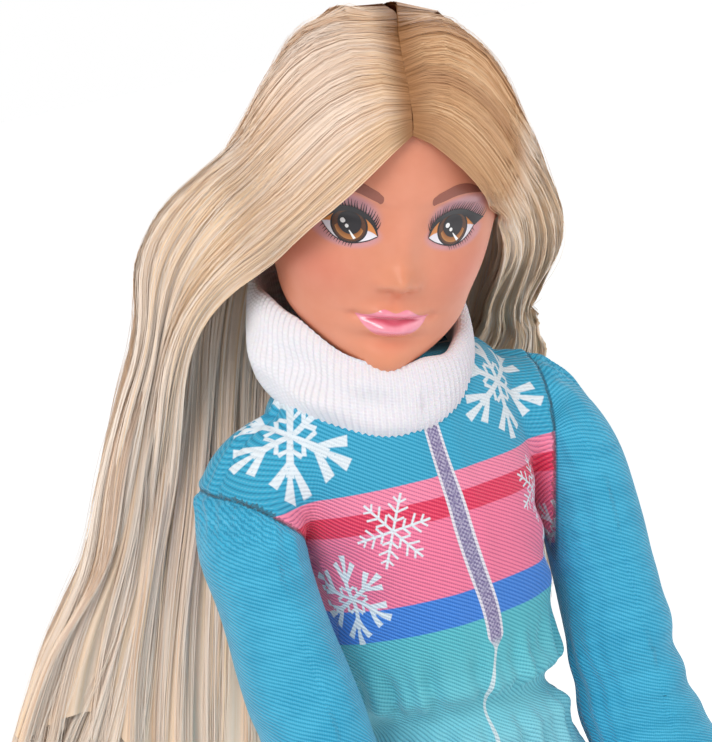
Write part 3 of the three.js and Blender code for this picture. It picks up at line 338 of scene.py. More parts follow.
def make_stage():
    world = bpy.context.scene.world or bpy.data.worlds.new("world")
    bpy.context.scene.world = world
    world.use_nodes = True
    tree = world.node_tree
    level = add_node(tree, "MapRange", seen_directly(tree), 0, 1, WORLD_LIGHT, 1, interpolation_type="LINEAR")
    put(tree, tree.nodes["Background"].inputs["Color"], "#ffffff")
    put(tree, tree.nodes["Background"].inputs["Strength"], level)
    bpy.context.scene.view_settings.view_transform = "Standard"
    # White paper floor: its own light fills up to white, and the doll's shadow still shows on it
    paper = Look("white_paper", "#ffffff", 0.9)
    glow = paper.add("Emission", "#ffffff", paper.add("Math MULTIPLY", seen_directly(paper.tree), PAPER_GLOW))
    both = paper.add("AddShader", paper.shader.outputs[0], glow)
    put(paper.tree, paper.tree.nodes["Material Output"].inputs["Surface"], both)
    angle = np.arange(96) / 96 * TAU
    rings = [np.column_stack([r * np.cos(angle), r * np.sin(angle), 0 * angle]) for r in (1.0, 400.0, 6000.0)]
    floor = mesh_object(
        "stage_floor", np.concatenate(rings) - [0, 0, 0.05], [grid_faces(3, 96, True)], material=paper.material,
    )

    def area(name, place, target, size, power, tint=(1, 1, 1)):
        data = bpy.data.lights.new(name, "AREA")
        data.shape = "DISK"
        data.size = size
        data.energy = power
        data.color = tint
        lamp = bpy.data.objects.new(name, data)
        bpy.context.scene.collection.objects.link(lamp)
        lamp.location = Vector(to_row(place))
        aim = Vector(to_row(target)) - lamp.location
        lamp.rotation_euler = aim.to_track_quat("-Z", "Y").to_euler()

    chest = (0, 0, 235)
    area("key_light", (-520, -560, 760), chest, 0.55, 4.5, (1, 0.985, 0.96))
    area("fill_light", (620, -560, 330), chest, 0.7, 1.2)
    area("back_light", (250, 500, 620), chest, 0.5, 1.2)


make_stage()

# Twill suit: one smooth skin over the trunk and both shoulders, cut into the pieces that move

ARM_SWING = {"left": 5, "right": 20}
SLEEVE_ROUND = 7.5


def arm_stations(side, samples=64):
    """Centres down one arm, from inside the shoulder to the wrist."""
    way = WAY[side]
    line = [
        (9.0, 0, ARM_Z), (15.6, 0, ARM_Z), (19.7, -0.2, ARM_Z - 1.9), (22.7, -1.4, ARM_Z - 8.5),
        (23.2, -1.6, 204.0), (23.6, -1.6, 187.0), (26.3, -6.5, 171.5), (29.6, -12.2, 156.3),
    ]
    centres = spline(line, samples)
    turn = rotation("X", -ARM_SWING[side])
    bend = smooth(centres[:, 0], 15.6, 22.0)[:, None]
    pivot = np.array([0, 0, ARM_Z])
    swung = (centres - pivot) @ turn.T + pivot
    centres = mix(centres, swung, bend)
    return centres * [way, 1, 1]


def tube(centres, radii, columns, flat):
    """Rings round a line. radii and flat: one a ring, half depth and width over depth."""
    across, other = cross_axes(unit(np.gradient(centres, axis=0)))
    angle = np.arange(columns) / columns * TAU
    ring = np.cos(angle)[None, :, None] * across[:, None]
    ring = ring + np.sin(angle)[None, :, None] * other[:, None] * flat[:, None, None]
    return centres[:, None] + radii[:, None, None] * ring


def closed_faces(rows, columns):
    """Faces of a closed tube: its wall, and fans over both ends, whose centres follow the rings."""
    wall, ring = grid_faces(rows, columns, True), np.arange(columns)
    low = fan_faces(ring, rows * columns, True)
    high = fan_faces(ring + (rows - 1) * columns, rows * columns + 1)
    return wall, np.concatenate([low, high])


def closed_tube(rings):
    rows, columns, _ = rings.shape
    points = np.concatenate([rings.reshape(-1, 3), rings[:1].mean(axis=1), rings[-1:].mean(axis=1)])
    return points, *closed_faces(rows, columns)


# Trunk under the suit: height, half width, front, back
TRUNK = [
    (150.0, 12.0, 8.2, 9.4),
    (153.5, 17.6, 9.8, 10.6),
    (157.4, 20.4, 10.8, 11.4),
    (162.9, 21.0, 11.5, 12.8),
    (170.4, 20.6, 11.9, 13.7),
    (179.7, 18.3, 11.9, 12.9),
    (187.2, 15.6, 11.8, 12.1),
    (192.0, 13.9, 11.6, 11.5),
    (195.0, 13.2, 11.3, 11.0),
    (197.0, 12.9, 11.1, 10.8),
    (199.2, 13.2, 11.6, 11.1),
    (201.9, 14.3, 12.7, 11.7),
    (206.6, 15.0, 13.8, 12.2),
    (212.0, 15.2, 15.1, 12.5),
    (217.4, 15.2, 15.9, 12.5),
    (221.0, 15.4, 15.8, 12.2),
    (225.4, 16.2, 15.0, 11.9),
    (229.5, 16.6, 13.9, 11.8),
    (233.7, 16.4, 12.7, 11.6),
    (237.3, 15.6, 12.0, 11.4),
    (239.8, 13.9, 11.4, 11.0),
    (241.6, 11.0, 9.6, 9.4),
]
# Down the sleeve: share of the way, half depth, width over depth
SLEEVE_RADII = [
    (0.0, 8.2, 1), (0.1, 8.1, 1), (0.16, 8.0, 0.95), (0.22, 7.8, 0.87), (0.3, 7.5, 0.84), (0.42, 7.4, 0.84),
    (0.55, 7.8, 0.87), (0.66, 7.8, 0.9), (0.8, 7.2, 0.95), (0.92, 6.6, 1), (1.0, 5.4, 1),
]


def rough_suit():
    """Trunk and both sleeves as overlapping closed bodies."""
    columns = 72
    heights = np.linspace(TRUNK[0][0], TRUNK[-1][0], 70)
    wide, front, back = np.moveaxis(table_at(TRUNK, heights), -1, 0)
    angle = np.arange(columns) / columns * TAU
    sine, cosine = np.sin(angle), np.cos(angle)
    across = np.sign(sine) * np.abs(sine) ** 0.92
    depth = np.sign(cosine) * np.abs(cosine) ** 0.92
    reach = np.where(depth[None] > 0, front[:, None], back[:, None])
    rings = np.stack([wide[:, None] * across[None], -reach * depth[None], np.repeat(heights[:, None], columns, 1)], -1)
    bodies = [closed_tube(rings)]
    for side in ("left", "right"):
        centres = arm_stations(side)
        radii = table_at(SLEEVE_RADII, np.linspace(0, 1, len(centres)))
        bodies.append(closed_tube(tube(centres, radii[:, 0], 56, radii[:, 1])))
    points, faces, start = [], [], 0
    for body, wall, caps in bodies:
        points.append(body)
        faces += [wall + start, caps + start]
        start += len(body)
    return np.concatenate(points), faces


def remeshed(name, points, faces, voxel, rounds):
    """One skin over overlapping closed bodies, as points in mm and four-sided faces."""
    rough = mesh_object(name, points, faces)
    skin = rough.modifiers.new("skin", "REMESH")
    skin.mode = "VOXEL"
    skin.voxel_size = voxel / 1000
    even = rough.modifiers.new("even", "SMOOTH")
    even.factor = 0.5
    even.iterations = rounds
    graph = bpy.context.evaluated_depsgraph_get()
    mesh = rough.evaluated_get(graph).to_mesh()
    places = np.empty(len(mesh.vertices) * 3, np.float32)
    mesh.vertices.foreach_get("co", places)
    corners = np.empty(len(mesh.loops), np.int32)
    mesh.loops.foreach_get("vertex_index", corners)
    normals = np.empty(len(mesh.vertices) * 3, np.float32)
    mesh.vertices.foreach_get("normal", normals)
    rough.evaluated_get(graph).to_mesh_clear()
    bpy.data.objects.remove(rough)
    places = (places.reshape(-1, 3).astype(float) - shift) * 1000
    return places, corners.reshape(-1, 4), normals.reshape(-1, 3).astype(float)


# Size of the skin's faces in mm, and how often it is evened out
SUIT_VOXEL, SUIT_ROUNDS = 0.42, 9
suit_points, suit_faces, suit_normals = remeshed("rough_suit", *rough_suit(), SUIT_VOXEL, SUIT_ROUNDS)


def corner_normals(points, quads):
    """Normals at the points of a four-sided mesh, from all its faces."""
    a, b, c, d = (points[quads[:, k]] for k in range(4))
    face = np.cross(c - a, d - b)
    normals = np.zeros_like(points)
    for k in range(4):
        np.add.at(normals, quads[:, k], face)
    return unit(normals)


def arm_place(points, side):
    """For points near one arm: distance down the arm in mm, angle round it, and distance from its centre line."""
    centres = arm_stations(side, 160)
    tangent = unit(np.gradient(centres, axis=0))
    best = np.zeros(len(points), int)
    for start in range(0, len(points), 20000):
        part = points[start:start + 20000]
        best[start:start + 20000] = ((part[:, None] - centres[None]) ** 2).sum(-1).argmin(1)
    offset = points - centres[best]
    down = lengths_along(centres)[best] + (offset * tangent[best]).sum(-1)
    across, other = cross_axes(tangent[best])
    angle = np.arctan2((offset * other).sum(-1), (offset * across).sum(-1))
    return down, angle, np.linalg.norm(offset, axis=1)


def arm_length(side):
    return np.linalg.norm(np.diff(arm_stations(side, 160), axis=0), axis=1).sum()


def drop_seam(points, side):
    """Distance past the seam that sets one sleeve into the printed yoke, positive on the sleeve."""
    x, z = points[:, 0], points[:, 2]
    if side == "right":
        return (-x - 20.5) * 0.675 - (z - 226.3) * 0.74 + 0.25 * np.sin(points[:, 1] * 0.5)
    return (x - 18.5) * 0.985 - (z - 226) * 0.12 + 0.2 * np.sin(points[:, 1] * 0.6)


def on_arm(points, normals, side):
    """True on the sleeve: past the armhole's plane, or below it on a surface that faces the trunk."""
    way = WAY[side]
    out = way * points[:, 0]
    below = points[:, 2] < ARM_Z - 9.2
    near = below & (out > 12)
    down, _, far = arm_place(points[near], side)
    reach = table_at(SLEEVE_RADII, down / arm_length(side))[:, 0] + 1.7
    near[near] = far < reach
    beside = below & (out > 13) & (way * normals[:, 0] < 0.1) & (points[:, 2] < 219)
    return np.where(below, near & ((out > 16.4) | beside), out > ARMHOLE_X)


def shaped_suit(points, normals):
    """Folds, gathers and seams of the suit, as moves along the normals."""
    x, y, z = points.T
    around = 15 * np.arctan2(x, -y)
    trunk = np.abs(x) < ARMHOLE_X
    move = np.zeros(len(points))
    # Gathers above and below the elastic, deeper near it
    fine = np.sin(around * 1.05 + 0.6 * waves(points, 14, 1)) * 0.6
    fine = fine + np.sin(around * 1.9 + 1.1 * waves(points, 10, 2)) * 0.4
    near = swell(z - 201.0, 3.6) * smooth(z, 197.5, 199.6) + 0.9 * swell(z - 192.3, 4.4) * smooth(z, 196.6, 194.6)
    move += trunk * fine * near * 0.9
    # The elastic: a narrow band drawn in, rippled, with a roll of cloth over it
    move += trunk * (0.95 * swell(z - 200.4, 1.4) + 0.7 * swell(z - 193.4, 1.3) - 0.85 * swell(z - 197.0, 1.5))
    # Soft dents over the whole trunk, and drag lines from the armholes and over the hips
    move += trunk * 0.24 * waves(points, 17, 3)
    drag = np.sin((z + np.abs(x) * 0.75) * 0.95) * swell(np.abs(x) - 13, 3.2) * swell(z - 215, 8)
    move += trunk * (y < 2) * 0.34 * drag
    hips = np.sin((z * 0.8 - np.abs(x) * 0.9) * 0.75) * swell(z - 168, 10) * swell(np.abs(x) - 12, 6)
    move += trunk * 0.4 * hips
    for side, way in WAY.items():
        arm = (way * x >= ARMHOLE_X - 1) | on_arm(points, normals, side)
        down, angle, _ = arm_place(points[arm], side)
        past = drop_seam(points[arm], side)
        p = points[arm]
        # Ridge and groove of the seam, with small gathers where the sleeve is set in
        part = -0.32 * swell(past, 0.45) + 0.22 * swell(past + 0.9, 0.7) + 0.3 * swell(past - 1.3, 1.1)
        pleats = np.sin(angle * 17 + 1.5 * waves(p, 9, 5)) * swell(past - 1.6, 2.6) * smooth(past, 0.1, 0.9)
        part += 0.2 * pleats
        # Long soft folds that wind down the arm, and creases inside the elbow
        wind = np.sin(down * 0.30 + angle * 1.6 + 0.8 * waves(p, 22, 6)) * smooth(down, 14, 24)
        part += 0.24 * wind * smooth(past, 0.5, 6)
        elbow_turn = swell(down - 46, 9) * (0.4 + 0.6 * swell(((angle + 0.2 * way) % TAU) - math.pi, 1.5))
        part += 0.3 * np.sin(down * 0.95 + 1.8 * np.sin(angle)) * elbow_turn
        part += 0.32 * waves(p, 21, 8) * smooth(past, 0.5, 4)
        gathers = np.sin(angle * 11 + waves(p, 8, 9)) * swell(down - 82, 6)
        part += 0.35 * gathers
        fade = smooth(way * p[:, 0], ARMHOLE_X - 0.5, ARMHOLE_X + 1.2)
        fade = np.where(p[:, 2] < ARM_Z - 10, 1, fade)
        # Little room where the sleeve lies against the trunk
        part *= mix(1, 0.25, smooth(-way * normals[arm][:, 0], 0.4, 0.8) * smooth(p[:, 2], 195, 203))
        move[arm] = mix(move[arm], part, fade)
    # Shoulder seam over the top: a rolled ridge with a stitched groove in front of it
    top = smooth(z, 229, 233) * smooth(np.abs(x), 8, 11)
    line = y + 0.2 * (np.abs(x) - 14)
    move += top * (0.42 * swell(line + 0.3, 0.75) - 0.3 * swell(line + 1.5, 0.35) - 0.18 * swell(line - 1.1, 0.4))
    # The opening down the back
    move += -0.3 * swell(x, 0.3) * (y > 5) * smooth(z, 200, 203)
    # The zip is only printed, and the cloth lies in a shallow fold beside it
    move += 0.22 * (swell(x - 2.6, 1.2) + swell(x + 2.4, 1.1)) * (y < 0) * trunk * smooth(z, 200, 208)
    return points + normals * move[:, None]


suit_points = shaped_suit(suit_points, suit_normals)
snap = (np.abs(np.abs(suit_points[:, 0]) - ARMHOLE_X) < 0.21) & (suit_points[:, 2] > ARM_Z - 9.6)
suit_points[snap, 0] = np.sign(suit_points[snap, 0]) * ARMHOLE_X
suit_normals = corner_normals(suit_points, suit_faces)
suit_tree = BVHTree.FromPolygons(suit_points.tolist(), suit_faces.tolist())

# Snowflakes of the print: place of the centre, radius, turn, and which of the two patterns
FLAKES = [
    ((-15.4, -6.0, 236.0), 8.6, 14, "large"),
    ((11.6, -9.2, 235.8), 7.6, 20, "large"),
    ((-8.1, -13.7, 222.4), 4.9, 8, "small"),
    ((12.2, -10.4, 222.0), 4.3, 22, "small"),
    ((-13.2, -8.4, 214.6), 5.6, 30, "large"),
    ((16.6, -5.6, 214.6), 5.0, 15, "large"),
    ((-7.0, 11.8, 231.5), 7.6, 5, "large"),
    ((8.6, 11.6, 229.5), 6.4, 25, "large"),
    ((2.0, 12.4, 219.5), 4.4, 12, "small"),
    ((-10.6, 10.4, 217.5), 4.4, 12, "small"),
]


def flake_places(points, pattern):
    """Places in the plane of the nearest flake, as shares of its radius, and 1 where the flake can reach."""
    values = np.zeros((len(points), 3), np.float32)
    nearest = np.full(len(points), 1e9)
    for centre, radius, turn, kind in FLAKES:
        if kind != pattern:
            continue
        centre = np.array(centre)
        normal = suit_tree.find_nearest(Vector(centre))[1]
        normal = unit(np.array(normal))
        right = unit(np.cross([0, 0, 1.0], normal))
        up = np.cross(normal, right)
        a, b = math.cos(math.radians(turn)), math.sin(math.radians(turn))
        offset = points - centre
        across, above, out = offset @ right, offset @ up, offset @ normal
        far = np.linalg.norm(offset, axis=1) / radius
        use = far < nearest
        nearest[use] = far[use]
        values[use, 0] = ((across * a + above * b) / radius)[use]
        values[use, 1] = ((above * a - across * b) / radius)[use]
        values[use, 2] = smooth(far, 1.45, 1.2)[use] * smooth(np.abs(out), radius * 0.9, radius * 0.75)[use]
    return values


def flake_mask(look, name, strokes, edge=0.012):
    """A six-armed flake folded from one half arm. strokes: root on the arm, length, angle, half width, flare."""
    add = look.add
    a, b, reach = add("SeparateXYZ", add("Attribute", out="Vector", attribute_name=name)).node.outputs
    far = add("Math SQRT", add("Math ADD", add("Math MULTIPLY", a, a), add("Math MULTIPLY", b, b)))
    folded = add("Math PINGPONG", add("Math ADD", add("Math ARCTAN2", b, a), math.pi), math.pi / 6)
    x = add("Math MULTIPLY", far, add("Math COSINE", folded))
    y = add("Math MULTIPLY", far, add("Math SINE", folded))
    total = None
    for root, long, angle, thick, widen in strokes:
        ca, sa = math.cos(math.radians(angle)), math.sin(math.radians(angle))
        dx = add("Math SUBTRACT", x, root)
        along = add("Math ADD", add("Math MULTIPLY", dx, ca), add("Math MULTIPLY", y, sa))
        side = add("Math SUBTRACT", add("Math MULTIPLY", y, ca), add("Math MULTIPLY", dx, sa))
        half = add("Math MULTIPLY_ADD", along, widen, thick)
        inside = add("MapRange", add("Math SUBTRACT", half, add("Math ABSOLUTE", side)), -edge, edge)
        begin, end = add("MapRange", along, -edge, edge), add("MapRange", along, long + edge, long - edge)
        stroke = add("Math MULTIPLY", inside, add("Math MULTIPLY", begin, end))
        total = stroke if total is None else add("Math MAXIMUM", total, stroke)
    return add("Math MULTIPLY", total, reach)


# Ribs of the twill in mm. The real cloth has about 0.2, which is too fine to show.
TWILL_PITCH, TWILL_ANGLE = 0.44, -31


def twill_height(add, x, y):
    """Diagonal ribs with the crossing threads on them, 0 to 1."""
    ca, sa = math.cos(math.radians(TWILL_ANGLE)), math.sin(math.radians(TWILL_ANGLE))
    across = add("Math ADD", add("Math MULTIPLY", x, -sa), add("Math MULTIPLY", y, ca))
    along = add("Math ADD", add("Math MULTIPLY", x, ca), add("Math MULTIPLY", y, sa))
    rib = add("Math SINE", add("Math MULTIPLY", across, TAU / TWILL_PITCH))
    skew = add("Math MULTIPLY", across, TAU / (TWILL_PITCH * 2))
    thread = add("Math SINE", add("Math ADD", add("Math MULTIPLY", along, TAU / (TWILL_PITCH * 0.62)), skew))
    return add("Math MULTIPLY_ADD", thread, 0.07, add("Math MULTIPLY_ADD", rib, 0.36, 0.5))


# Bands of the print over the pale cloth: height in mm where each begins, over a soft edge
PRINT_BANDS = [(209.0, "#3c86e4"), (213.0, "#ff7ea4"), (222.6, "#ee3a62"), (225.1, "#ff8cae"), (227.5, "#34acd2")]
PRINT_EDGE = 0.09
# Heights over which the printed zip fades out below, and gaps of its dots across and up
ZIP_FOOT = (206.5, 204.5)
ZIP_DOTS = (0.55, 0.62)


def suit_material():
    """Polyester twill, woven in diagonal ribs and then printed: matt, with a soft sheen,
    painted shade in its grooves and a painted highlight on its rib crests.
    """
    look = Look("printed_twill", "#2f9fc0", 0.62, Sheen_Weight=0.25, Sheen_Roughness=0.4, Specular_IOR_Level=0.35)
    add = look.add
    u, v, place = look.uv("print")
    wx, wy, weave = look.uv("weave")
    past = add("Attribute", out="Fac", attribute_name="seam")
    # Edges of the bands waver by a tenth of a millimetre, in steps of 0.4 mm
    height = add("Math MULTIPLY_ADD", add("TexNoise", place, 2.5, 2, 0.55), 0.1, add("Math SUBTRACT", v, 0.05))
    shade = add("Mix", add("MapRange", v, 186.0, 209.0), "#8edcec", "#58c4d2")
    shade = add("Mix", add("MapRange", v, 190.0, 160.0), shade, "#a6e4f0")
    for start, code in PRINT_BANDS:
        shade = add("Mix", add("MapRange", height, start - PRINT_EDGE, start + PRINT_EDGE), shade, code)
    # Printed zip: dotted lavender between white edges, dipping with the cloth, with a print grain of 0.4 mm
    sway = add("Math MULTIPLY", add("MapRange", v, 222.0, 206.0), 2.2)
    sway = add("Math MULTIPLY", sway, add("MapRange", v, 198.0, 206.0))
    beside = add("Math ABSOLUTE", add("Math SUBTRACT", u, sway))
    front = add("MapRange", add("Math ABSOLUTE", u), 12, 10)
    grain = add("TexNoise", add("VectorMath MULTIPLY", place, (1, 0.6, 1)), 2.6, 4, 0.75)
    dots = [add("Math SINE", add("Math MULTIPLY", line, TAU / gap)) for line, gap in zip((u, v), ZIP_DOTS)]
    dotted = add("Math MULTIPLY_ADD", add("Math MULTIPLY", *dots), 0.16, grain)
    tape = add("Mix", add("MapRange", dotted, 0.42, 0.6), "#8577a4", "#bab1cd")
    zip_shade = add("Mix", add("MapRange", beside, 0.78, 0.9), tape, "#efeaf4")
    below = add("MapRange", v, *ZIP_FOOT)
    width = add("Math MULTIPLY_ADD", below, -0.95, 1.2)
    in_zip = add("Math MULTIPLY", add("MapRange", add("Math SUBTRACT", width, beside), -0.05, 0.05), front)
    # Snowflakes, worn off here and there in spots of 0.3 mm
    large = flake_mask(look, "large_flakes", [
        (0.0, 0.62, 0, 0.042, 0.03), (0.40, 0.46, 32, 0.03, 0.09), (0.22, 0.20, 58, 0.026, 0.05),
        (0.60, 0.36, 0, 0.03, 0.14),
    ])
    small = flake_mask(look, "small_flakes", [
        (0.0, 0.96, 0, 0.032, 0.0), (0.26, 0.24, 58, 0.03, 0.0), (0.48, 0.30, 55, 0.028, 0.0),
        (0.72, 0.20, 52, 0.026, 0.0),
    ], 0.016)
    left_on = add("MapRange", add("TexNoise", place, 3.2, 3, 0.7), 0.2, 0.42)
    flakes = add("Math MULTIPLY", add("Math MAXIMUM", large, small), left_on)
    shade = add("Mix", flakes, shade, "#e9f3fa")
    shade = add("Mix", in_zip, shade, add("Mix", below, zip_shade, "#dfeef2"))
    # Plain sleeve past the seam, where the dye took in clouds of 3 mm
    cloudy = add("MapRange", add("TexNoise", place, 0.35, 3, 0.55), 0.35, 0.65)
    sleeve = add("Mix", cloudy, "#30abd3", "#3db7de")
    shade = add("Mix", add("MapRange", past, -0.05, 0.05), shade, sleeve)
    # Ribs: painted shade in the grooves, less under the white of a flake, and a painted highlight on the crests;
    # the seam is a dark line of painted shade in its groove
    ribs = twill_height(add, wx, wy)
    hold = add("Math MULTIPLY_ADD", flakes, -0.42, 0.62)
    painted_rib_shade = add("Math MULTIPLY", add("MapRange", ribs, 0.46, 0.06), hold)
    shade = add("Mix", painted_rib_shade, shade, "#8fa3b5", blend_type="MULTIPLY")
    painted_highlight = add("Math MULTIPLY", add("MapRange", ribs, 0.7, 1.0), 0.16)
    shade = add("Mix", painted_highlight, shade, "#d9f2fb", blend_type="SCREEN")
    painted_groove_shade = add("MapRange", add("Math ABSOLUTE", past), 0.26, 0.06)
    shade = add("Mix", add("Math MULTIPLY", painted_groove_shade, 0.7), shade, "#0f5874")
    # Fibres of the threads, drawn at 0.3 mm, because real ones have about 0.02 mm and don't show
    threads = add("Math MULTIPLY_ADD", add("TexNoise", weave, 3.0, 3, 0.55), 0.3, ribs)
    look.set(Base_Color=shade, Roughness=add("Math MULTIPLY_ADD", ribs, -0.14, 0.7))
    look.set(Normal=add("Bump", threads, 0.13 * MM, 0.9))
    return look.material


suit_look = suit_material()


def cut_piece(name, keep, points, faces, normals, uvs, masks, material):
    """The part of a skin whose faces are kept, with the whole skin's normals, so the cut doesn't show."""
    faces = faces[keep]
    used, inverse = np.unique(faces, return_inverse=True)
    faces = inverse.reshape(faces.shape)
    piece = mesh_object(
        name, points[used], [faces],
        {k: (v[0][used], v[1]) if isinstance(v, tuple) else v[used] for k, v in uvs.items()},
        {k: v[used] for k, v in masks.items()}, material,
    )
    piece.data.normals_split_custom_set_from_vertices(normals[used].tolist())
    return piece


def closure_tape():
    """Hook-and-loop strip under the back opening: a woven tape with rows of hooks, laid on the CAD strip's back."""
    strip = nodes["closure_tape"]
    low, high = [(np.array(c) - shift) * 1000 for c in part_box("closure_tape")]
    places = np.array([v.co for v in strip.data.vertices], float)
    faces = [list(p.vertices) for p in strip.data.polygons]
    tree = BVHTree.FromPolygons(((places - shift) * 1000).tolist(), faces)
    rows, columns = 220, 34
    x = np.linspace(low[0] + 0.1, high[0] - 0.1, columns)
    z = np.linspace(low[2] + 0.1, high[2] - 0.1, rows)
    sides = []
    for way in (1, -1):
        skin = np.empty((rows, columns, 3))
        for i, j in np.ndindex(rows, columns):
            hit = tree.ray_cast(Vector((x[j], way * 60, z[i])), Vector((0, -way, 0)))[0]
            skin[i, j] = (x[j], hit.y if hit else high[1], z[i])
        sides.append(skin)
    hooks = 0.09 * (np.cos(x * TAU / 0.6)[None] * np.cos(z * TAU / 0.7)[:, None]) - 0.1
    inside = smooth(2.3 - np.abs(x - x.mean()), 0, 0.5)[None]
    inside = inside * smooth(np.minimum(z - z[0], z[-1] - z), 0, 0.5)[:, None]
    sides[0][..., 1] += hooks * inside
    points = np.concatenate([s.reshape(-1, 3) for s in sides])
    front = grid_faces(rows, columns)
    back = grid_faces(rows, columns, start=rows * columns)[:, ::-1]
    index = np.arange(rows * columns).reshape(rows, columns)
    border = np.concatenate([index[0, :-1], index[:-1, -1], index[-1, :0:-1], index[:0:-1, 0]])
    after = np.roll(border, -1)
    rim = np.stack([after, border, border + rows * columns, after + rows * columns], axis=-1)
    # Woven nylon with cut hooks: dull, and mottled by their stubs, which are 0.25 mm apart
    look = Look("nylon_hook_tape", "#2c97bc", 0.75, Sheen_Weight=0.2, Sheen_Roughness=0.5)
    grain = look.add("TexNoise", look.place(), 4.0, 4, 0.7)
    look.set(Base_Color=look.add("Mix", grain, "#2687aa", "#3aa6cb"), Normal=look.add("Bump", grain, 0.08 * MM, 0.7))
    piece = mesh_object("closure_strip", points, [front, back, rim], material=look.material)
    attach(piece, "torso")
    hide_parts("closure_tape")
    return piece


def make_suit():
    x, y, z = suit_points.T
    print_uv = np.column_stack([15 * np.arctan2(x, -y), z])
    weave = print_uv.copy()
    past = np.full(len(x), -5.0)
    for side, way in WAY.items():
        arm = on_arm(suit_points, suit_normals, side)
        down, angle, _ = arm_place(suit_points[arm], side)
        past[arm] = drop_seam(suit_points[arm], side)
        keep = past[arm] > -0.2
        weave[np.flatnonzero(arm)[keep]] = np.column_stack([angle[keep] * SLEEVE_ROUND, down[keep]])
    large, small = flake_places(suit_points, "large"), flake_places(suit_points, "small")
    masks = {"seam": past, "large_flakes": large, "small_flakes": small}
    middle = suit_points[suit_faces].mean(axis=1)
    facing = unit(suit_normals[suit_faces].mean(axis=1))
    sleeves = {side: on_arm(middle, facing, side) for side in ("left", "right")}
    # A sleeve is open at the wrist, where the cuff comes out of it
    wrists = {}
    for side in sleeves:
        line = arm_stations(side, 160)
        way = unit(line[-1] - line[-2])
        wrists[side] = ((middle - line[-1]) @ way > -1.6) & (facing @ way > 0.5)
    parts = {}
    for name, keep, weave_round in (
        ("suit_trunk", ~(sleeves["left"] | sleeves["right"]), 15),
        ("left_suit_sleeve", sleeves["left"] & ~wrists["left"], SLEEVE_ROUND),
        ("right_suit_sleeve", sleeves["right"] & ~wrists["right"], SLEEVE_ROUND),
    ):
        uvs = {"print": (print_uv, 15 * TAU), "weave": (weave, weave_round * TAU)}
        parts[name] = cut_piece(name, keep, suit_points, suit_faces, suit_normals, uvs, masks, suit_look)
    tape = closure_tape()
    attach(parts["suit_trunk"], "torso")
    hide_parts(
        "bodice_front", "bodice_back_right", "bodice_back_left", "waist_elastic", "suit_seat",
    )
    for side, way in WAY.items():
        piece = parts[f"{side}_suit_sleeve"]
        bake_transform(piece)
        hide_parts(f"{side}_sleeve")


make_suit()

# Head of soft vinyl, from the part's own formulas with more steps and a fuller relief

HEAD_ROWS = [
    (-0.5, 0.03, 0.3, -0.2), (-0.48, 0.08, 0.39, -0.1), (-0.44, 0.19, 0.42, 0.06), (-0.4, 0.283, 0.43, 0.15),
    (-0.34, 0.368, 0.43, 0.24), (-0.26, 0.41, 0.432, 0.32), (-0.16, 0.455, 0.435, 0.38), (-0.05, 0.482, 0.437, 0.42),
    (0.06, 0.496, 0.437, 0.45), (0.18, 0.492, 0.432, 0.47), (0.3, 0.455, 0.4, 0.455), (0.4, 0.375, 0.32, 0.4),
    (0.46, 0.27, 0.22, 0.3), (0.49, 0.14, 0.1, 0.18), (0.5, 0.03, 0, 0.05),
]
# Relief of the face in mm, towards -Y: place across and up, reach across and up, height
FACE_RELIEF = [
    (0, -2.2, 1.9, 3.7, 1.1),
    (0, -5.5, 1.85, 1.5, 2.3),
    (0, -6.6, 1.0, 0.8, 0.5),
    (2.0, -6.35, 0.95, 0.95, 0.8),
    (1.15, -7.35, 0.42, 0.3, -0.42),
    (6.4, 0.9, 3.5, 2.3, -1.35),
    (6.4, 0.2, 2.6, 1.5, 0.45),
    (6.3, 3.1, 3.8, 0.55, -0.22),
    (6.5, 4.6, 4.8, 1.9, 0.42),
    (8.4, -5.8, 4.2, 3.8, 0.75),
    (0, -8.6, 0.55, 0.75, -0.3),
    (0, -10.15, 3.9, 0.75, 0.85),
    (1.5, -10.0, 1.2, 0.6, 0.22),
    (0, -11.1, 3.9, 0.3, -0.62),
    (0, -12.25, 3.1, 0.95, 1.2),
    (1.3, -12.3, 1.3, 0.7, 0.12),
    (4.6, -11.0, 0.8, 0.8, -0.32),
    (0, -14.0, 4.0, 0.9, -0.72),
    (0, -17.0, 3.0, 2.0, 1.05),
]
HEAD_TURN = rotation("Z", -11) @ rotation("Y", 15) @ rotation("X", 20)
HEAD_FOOT = np.array([0, 0, NECK_Z])
# From the top of the neck to the head's own middle, and how far the skull's sections go from it
HEAD_MIDDLE = np.array([0, 0, 17.0])
HEAD_END = 19.8


def from_head(points):
    """The head's own frame to the doll's."""
    return (np.asarray(points, float) + HEAD_MIDDLE) @ HEAD_TURN.T + HEAD_FOOT


def into_head(points):
    return (np.asarray(points, float) - HEAD_FOOT) @ HEAD_TURN - HEAD_MIDDLE


def face_relief(x, z):
    height = np.zeros(np.broadcast(x, z).shape)
    for across, up, wide, tall, rise in FACE_RELIEF:
        for place in ((across, -across) if across else (0,)):
            height += rise * swell(x - place, wide) * swell(z - up, tall)
    return height


def head_section(z, grow=0.0):
    wide, face, rear = np.moveaxis(table_at(HEAD_ROWS, np.asarray(z) / (HEAD_H + 2 * grow)), -1, 0)
    return wide * HEAD_W + grow, (rear - face) * HEAD_D / 2, (rear + face) * HEAD_D / 2 + grow


